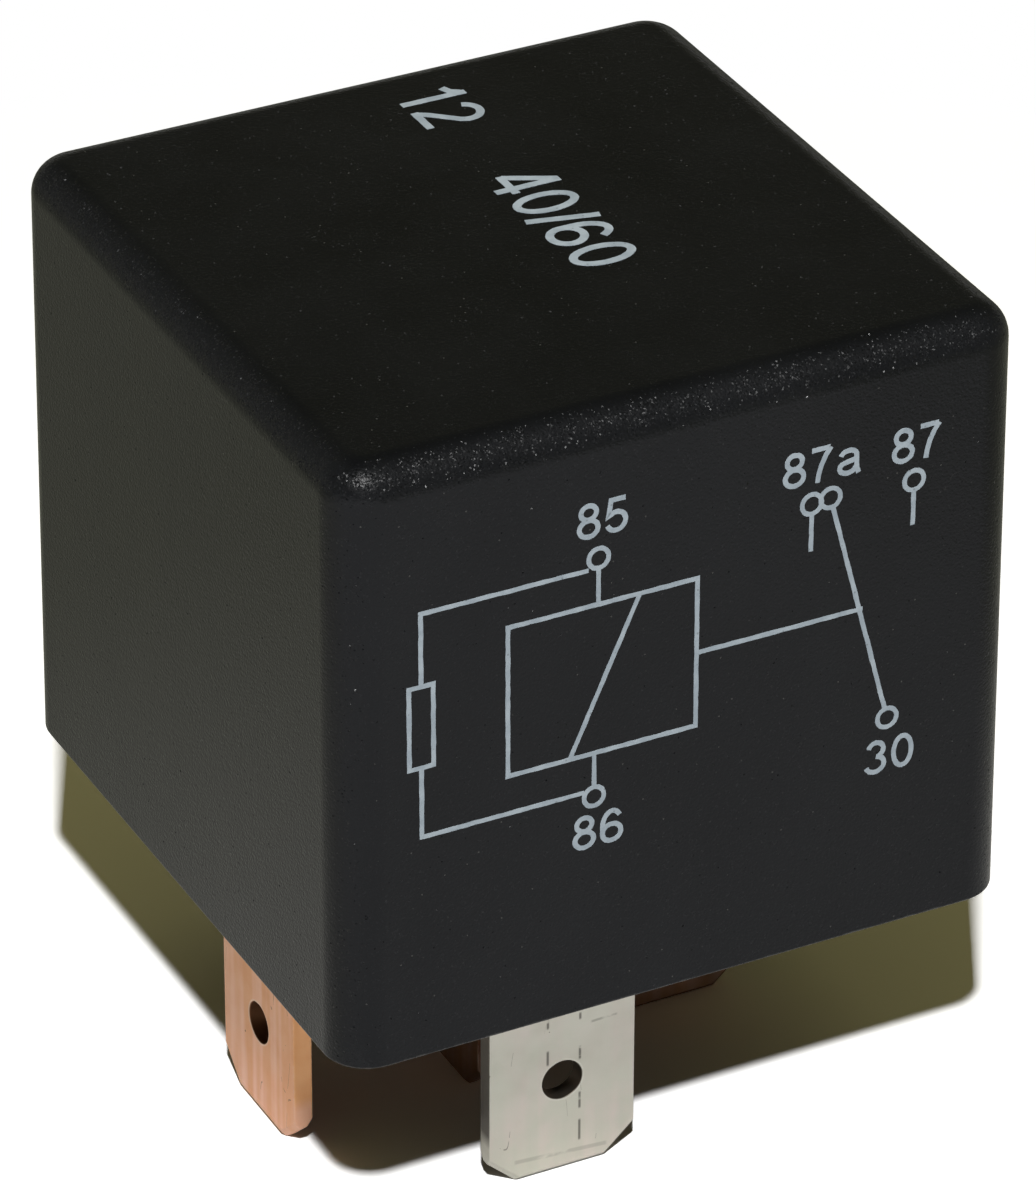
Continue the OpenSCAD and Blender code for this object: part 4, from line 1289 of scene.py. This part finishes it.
def make_moving_contact():
    """Double-faced silver contact riveted through the leaf's end."""
    under, over, radius, neck = 0.6, 0.5, 1.4, 0.7
    below = [(r, -h) for r, h in reversed(button(radius, under, 0.0))]
    profile = below + [(neck, 0.0), (neck, LEAF_T)] + button(radius, over, LEAF_T)
    reach = HINGE.x - box_middle("moving_contact").x + (ARMATURE_T * MM) * math.sin(SWING)
    place = AT_REST @ Matrix.Translation((-reach / math.cos(SWING), 0, ARMATURE_T * MM))
    mesh = turned("contact_moving", profile, place, 48)
    place_piece("contact_moving", mesh, "silver", ("moving_contact",), "armature_group")


def make_fixed_contact(kind, facing):
    """Silver contact riveted into a fixed arm, its face up or down."""
    node, name = "fixed_contact_" + kind, "contact_fixed_" + kind
    low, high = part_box(node)
    height = (high.z - low.z) / MM - BLADE_T - 0.25
    profile = [(0, -1.05), (0.7, -1.05), (0.95, -0.98), (1.02, -0.86), (1.02, -BLADE_T),
               (0.75, -BLADE_T), (0.75, 0.0)]
    profile += button(1.6, height, 0.0)
    seat = high.z - height * MM if facing > 0 else low.z + height * MM
    place = Matrix.Translation((box_middle(node).x, 0, seat))
    if facing < 0:
        place = place @ Matrix.Rotation(math.pi, 4, "X")
    place_piece(name, turned(name, profile, place, 48), "silver", (node,))


def make_spring_leaf():
    """The contact spring: flat on the armature, rolled over its heel and riveted down the yoke's back."""
    piece = dressed("contact_spring", "spring_leaf", "leaf", 0.03, None)
    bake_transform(piece)


dressed("armature", "armature_plated", "armature", 0.08, "armature_group")
make_all_rivets()
make_moving_contact()
make_fixed_contact("no", 1)
make_fixed_contact("nc", -1)
make_spring_leaf()

# ---------- resistor ----------


def make_resistor():
    """Dog-bone resistor body: two end caps under lacquer and a slimmer middle."""
    low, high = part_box("resistor_body")
    end = -high.y / MM
    radius = (high.z - low.z) / 2 / MM
    profile = [(0, end), (0.45, end), (0.80, end + 0.05), (radius - 0.06, end + 0.28), (radius, end + 0.55),
               (radius, end + 1.05), (radius - 0.05, end + 1.28), (radius - 0.15, end + 1.6)]
    profile += [(r, -y) for r, y in reversed(profile)]
    middle = box_middle("resistor_body")
    place = Matrix.Translation((middle.x, 0, middle.z)) @ Matrix.Rotation(-QUARTER, 4, "X")
    mesh = turned("resistor_bodied", rounded(profile, 0.12, 3), place, 48)
    place_piece("resistor_bodied", mesh, "resistor", ("resistor_body",))


def make_resistor_wire(number, side):
    """A resistor lead: straight out of its cap, then bent across to its blade's post."""
    node = "resistor_lead_" + number
    low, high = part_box(node)
    thick = (high.z - low.z) / MM
    x, z = low.x / MM + thick / 2, box_middle(node).z / MM
    near, far = sorted((abs(low.y) / MM, abs(high.y) / MM))
    far -= thick / 2
    path = [(x, side * (near - 0.05), z), (x, side * far, z), (high.x / MM, side * far, z)]
    make_wire(node, "resistor_wire_" + number, "lead", path, thick, 0.55, 6, 16)


make_resistor()
make_resistor_wire("85", -1)
make_resistor_wire("86", 1)

# ---------- camera ----------

CAMERA_AZIMUTH = math.radians(-27.16)
CAMERA_ELEVATION = math.radians(31.09)
CAMERA_ROLL = math.radians(0.21)
CAMERA_DISTANCE = 289.37 * MM
CAMERA_LENS = 221.79
AIM_RIGHT = 0.31 * MM
AIM_UP = 7.83 * MM


def direction(azimuth, elevation):
    """A unit vector that points from the object towards an azimuth and elevation."""
    level = math.cos(elevation)
    return Vector((math.sin(azimuth) * level, -math.cos(azimuth) * level, math.sin(elevation)))


def make_camera():
    back = direction(CAMERA_AZIMUTH, CAMERA_ELEVATION)
    level = Vector((math.cos(CAMERA_AZIMUTH), math.sin(CAMERA_AZIMUTH), 0))
    right = level * math.cos(CAMERA_ROLL) + back.cross(level) * math.sin(CAMERA_ROLL)
    up = back.cross(right)
    place = Vector((0, 0, RIM)) + right * AIM_RIGHT + up * AIM_UP + back * CAMERA_DISTANCE
    data = bpy.data.cameras.new("camera")
    data.lens = CAMERA_LENS
    data.sensor_width = 36
    data.clip_start = 0.01
    data.clip_end = 20
    camera = linked("camera", data)
    rows = [(right[i], up[i], back[i], place[i]) for i in range(3)]
    camera.matrix_world = Matrix((*rows, (0, 0, 0, 1)))
    bpy.context.scene.camera = camera


make_camera()

# ---------- light, floor and background ----------

KEY_AZIMUTH = math.radians(-27.2)
KEY_ELEVATION = math.radians(49)
KEY_DISTANCE = 0.60
KEY_SIZE = 0.020
KEY_WATTS = 3.6
AMBIENT = rgb(1.0, 0.90, 0.385)
AMBIENT_STRENGTH = 0.20
SKY_DARK = rgb(0.100, 0.098, 0.060)
WHITE = rgb(1, 1, 1)


def make_key_lamp():
    """A square soft lamp that faces the middle of the object."""
    away = direction(KEY_AZIMUTH, KEY_ELEVATION)
    data = bpy.data.lights.new("key lamp", "AREA")
    data.shape = "SQUARE"
    data.size = KEY_SIZE
    data.energy = KEY_WATTS
    item = linked("key lamp", data)
    item.location = Vector((0, 0, TOP / 2)) + away * KEY_DISTANCE
    item.rotation_euler = away.to_track_quat("Z", "Y").to_euler()


def mix_shaders(tree, factor, first, second):
    return made(tree, "ShaderNodeMixShader", {0: factor, 1: first, 2: second})


def make_world():
    """White behind the object, a dim warm room for the light that comes from all round."""
    world = bpy.data.worlds.new("studio")
    tree = fresh_tree(world)
    ray = tree.nodes.new("ShaderNodeLightPath").outputs
    height = split(tree, tree.nodes.new("ShaderNodeTexCoord").outputs["Generated"])["Z"]

    def background(colour, strength=1.0):
        return made(tree, "ShaderNodeBackground", {"Color": colour, "Strength": strength})

    sky = background(mix_colour(tree, ramp(tree, height, 0.0, 0.12), WHITE, SKY_DARK))
    room = background(AMBIENT, ramp(tree, height, 0.55, 0.95, 0.03 * AMBIENT_STRENGTH, AMBIENT_STRENGTH))
    mirrored = maths(tree, "MAXIMUM", ray["Is Glossy Ray"], ray["Is Transmission Ray"])
    inner = mix_shaders(tree, mirrored, room, sky)
    outer = mix_shaders(tree, ray["Is Camera Ray"], inner, background(WHITE))
    add(tree, "ShaderNodeOutputWorld", {"Surface": outer})
    bpy.context.scene.world = world


def table_top():
    """White for the camera, with the object's shadow on it, and clear from below."""
    material = bpy.data.materials.new("White table top")
    tree = fresh_tree(material)
    ray = tree.nodes.new("ShaderNodeLightPath").outputs
    place = tree.nodes.new("ShaderNodeTexCoord").outputs["Object"]
    ground = split(tree, place)

    def diffuse(colour):
        return made(tree, "ShaderNodeBsdfDiffuse", {"Color": colour})

    # painted shade and reflection: mirrored in the object, the table's colour dims towards the unlit room
    # behind it and beside it, and is paler and bluer further in front
    beside = ramp(tree, ground["X"], 36 * MM, 58 * MM)
    dim = maths(tree, "MAXIMUM", ramp(tree, ground["Y"], -2 * MM, 42 * MM), beside)
    in_front = ramp(tree, ground["Y"], -24 * MM, -10 * MM)
    near = mix_colour(tree, in_front, rgb(0.88, 0.89, 0.93), rgb(0.75, 0.75, 0.735))
    mirrored = mix_colour(tree, dim, near, rgb(0.40, 0.41, 0.34))
    # light that has met the table once already comes back weaker, so that the shadow stays deep
    once = ramp(tree, ray["Diffuse Depth"], 0.0, 1.0)
    plain = diffuse(mix_colour(tree, once, mirrored, rgb(0.27, 0.27, 0.28)))
    # well outside the shadow the table runs into the white background
    away = vector_maths(tree, "LENGTH", place, result="Value")
    white = made(tree, "ShaderNodeEmission", {"Color": WHITE, "Strength": 1.0})
    shown = mix_shaders(tree, ramp(tree, away, 62 * MM, 85 * MM), diffuse(rgb(1.6, 1.6, 1.6)), white)
    top = mix_shaders(tree, ray["Is Camera Ray"], plain, shown)
    below = tree.nodes.new("ShaderNodeNewGeometry").outputs["Backfacing"]
    both = mix_shaders(tree, below, top, made(tree, "ShaderNodeBsdfTransparent"))
    add(tree, "ShaderNodeOutputMaterial", {"Surface": both})
    return material


def make_floor():
    half, low = 3.0, -0.02 * MM
    mesh = bpy.data.meshes.new("floor")
    corners = [(-half, -half, low), (half, -half, low), (half, half, low), (-half, half, low)]
    mesh.from_pydata(corners, [], [(0, 1, 2, 3)])
    mesh.materials.append(table_top())
    floor = linked("floor", mesh)


make_key_lamp()
make_world()
make_floor()

bpy.context.scene.view_settings.view_transform = "Standard"
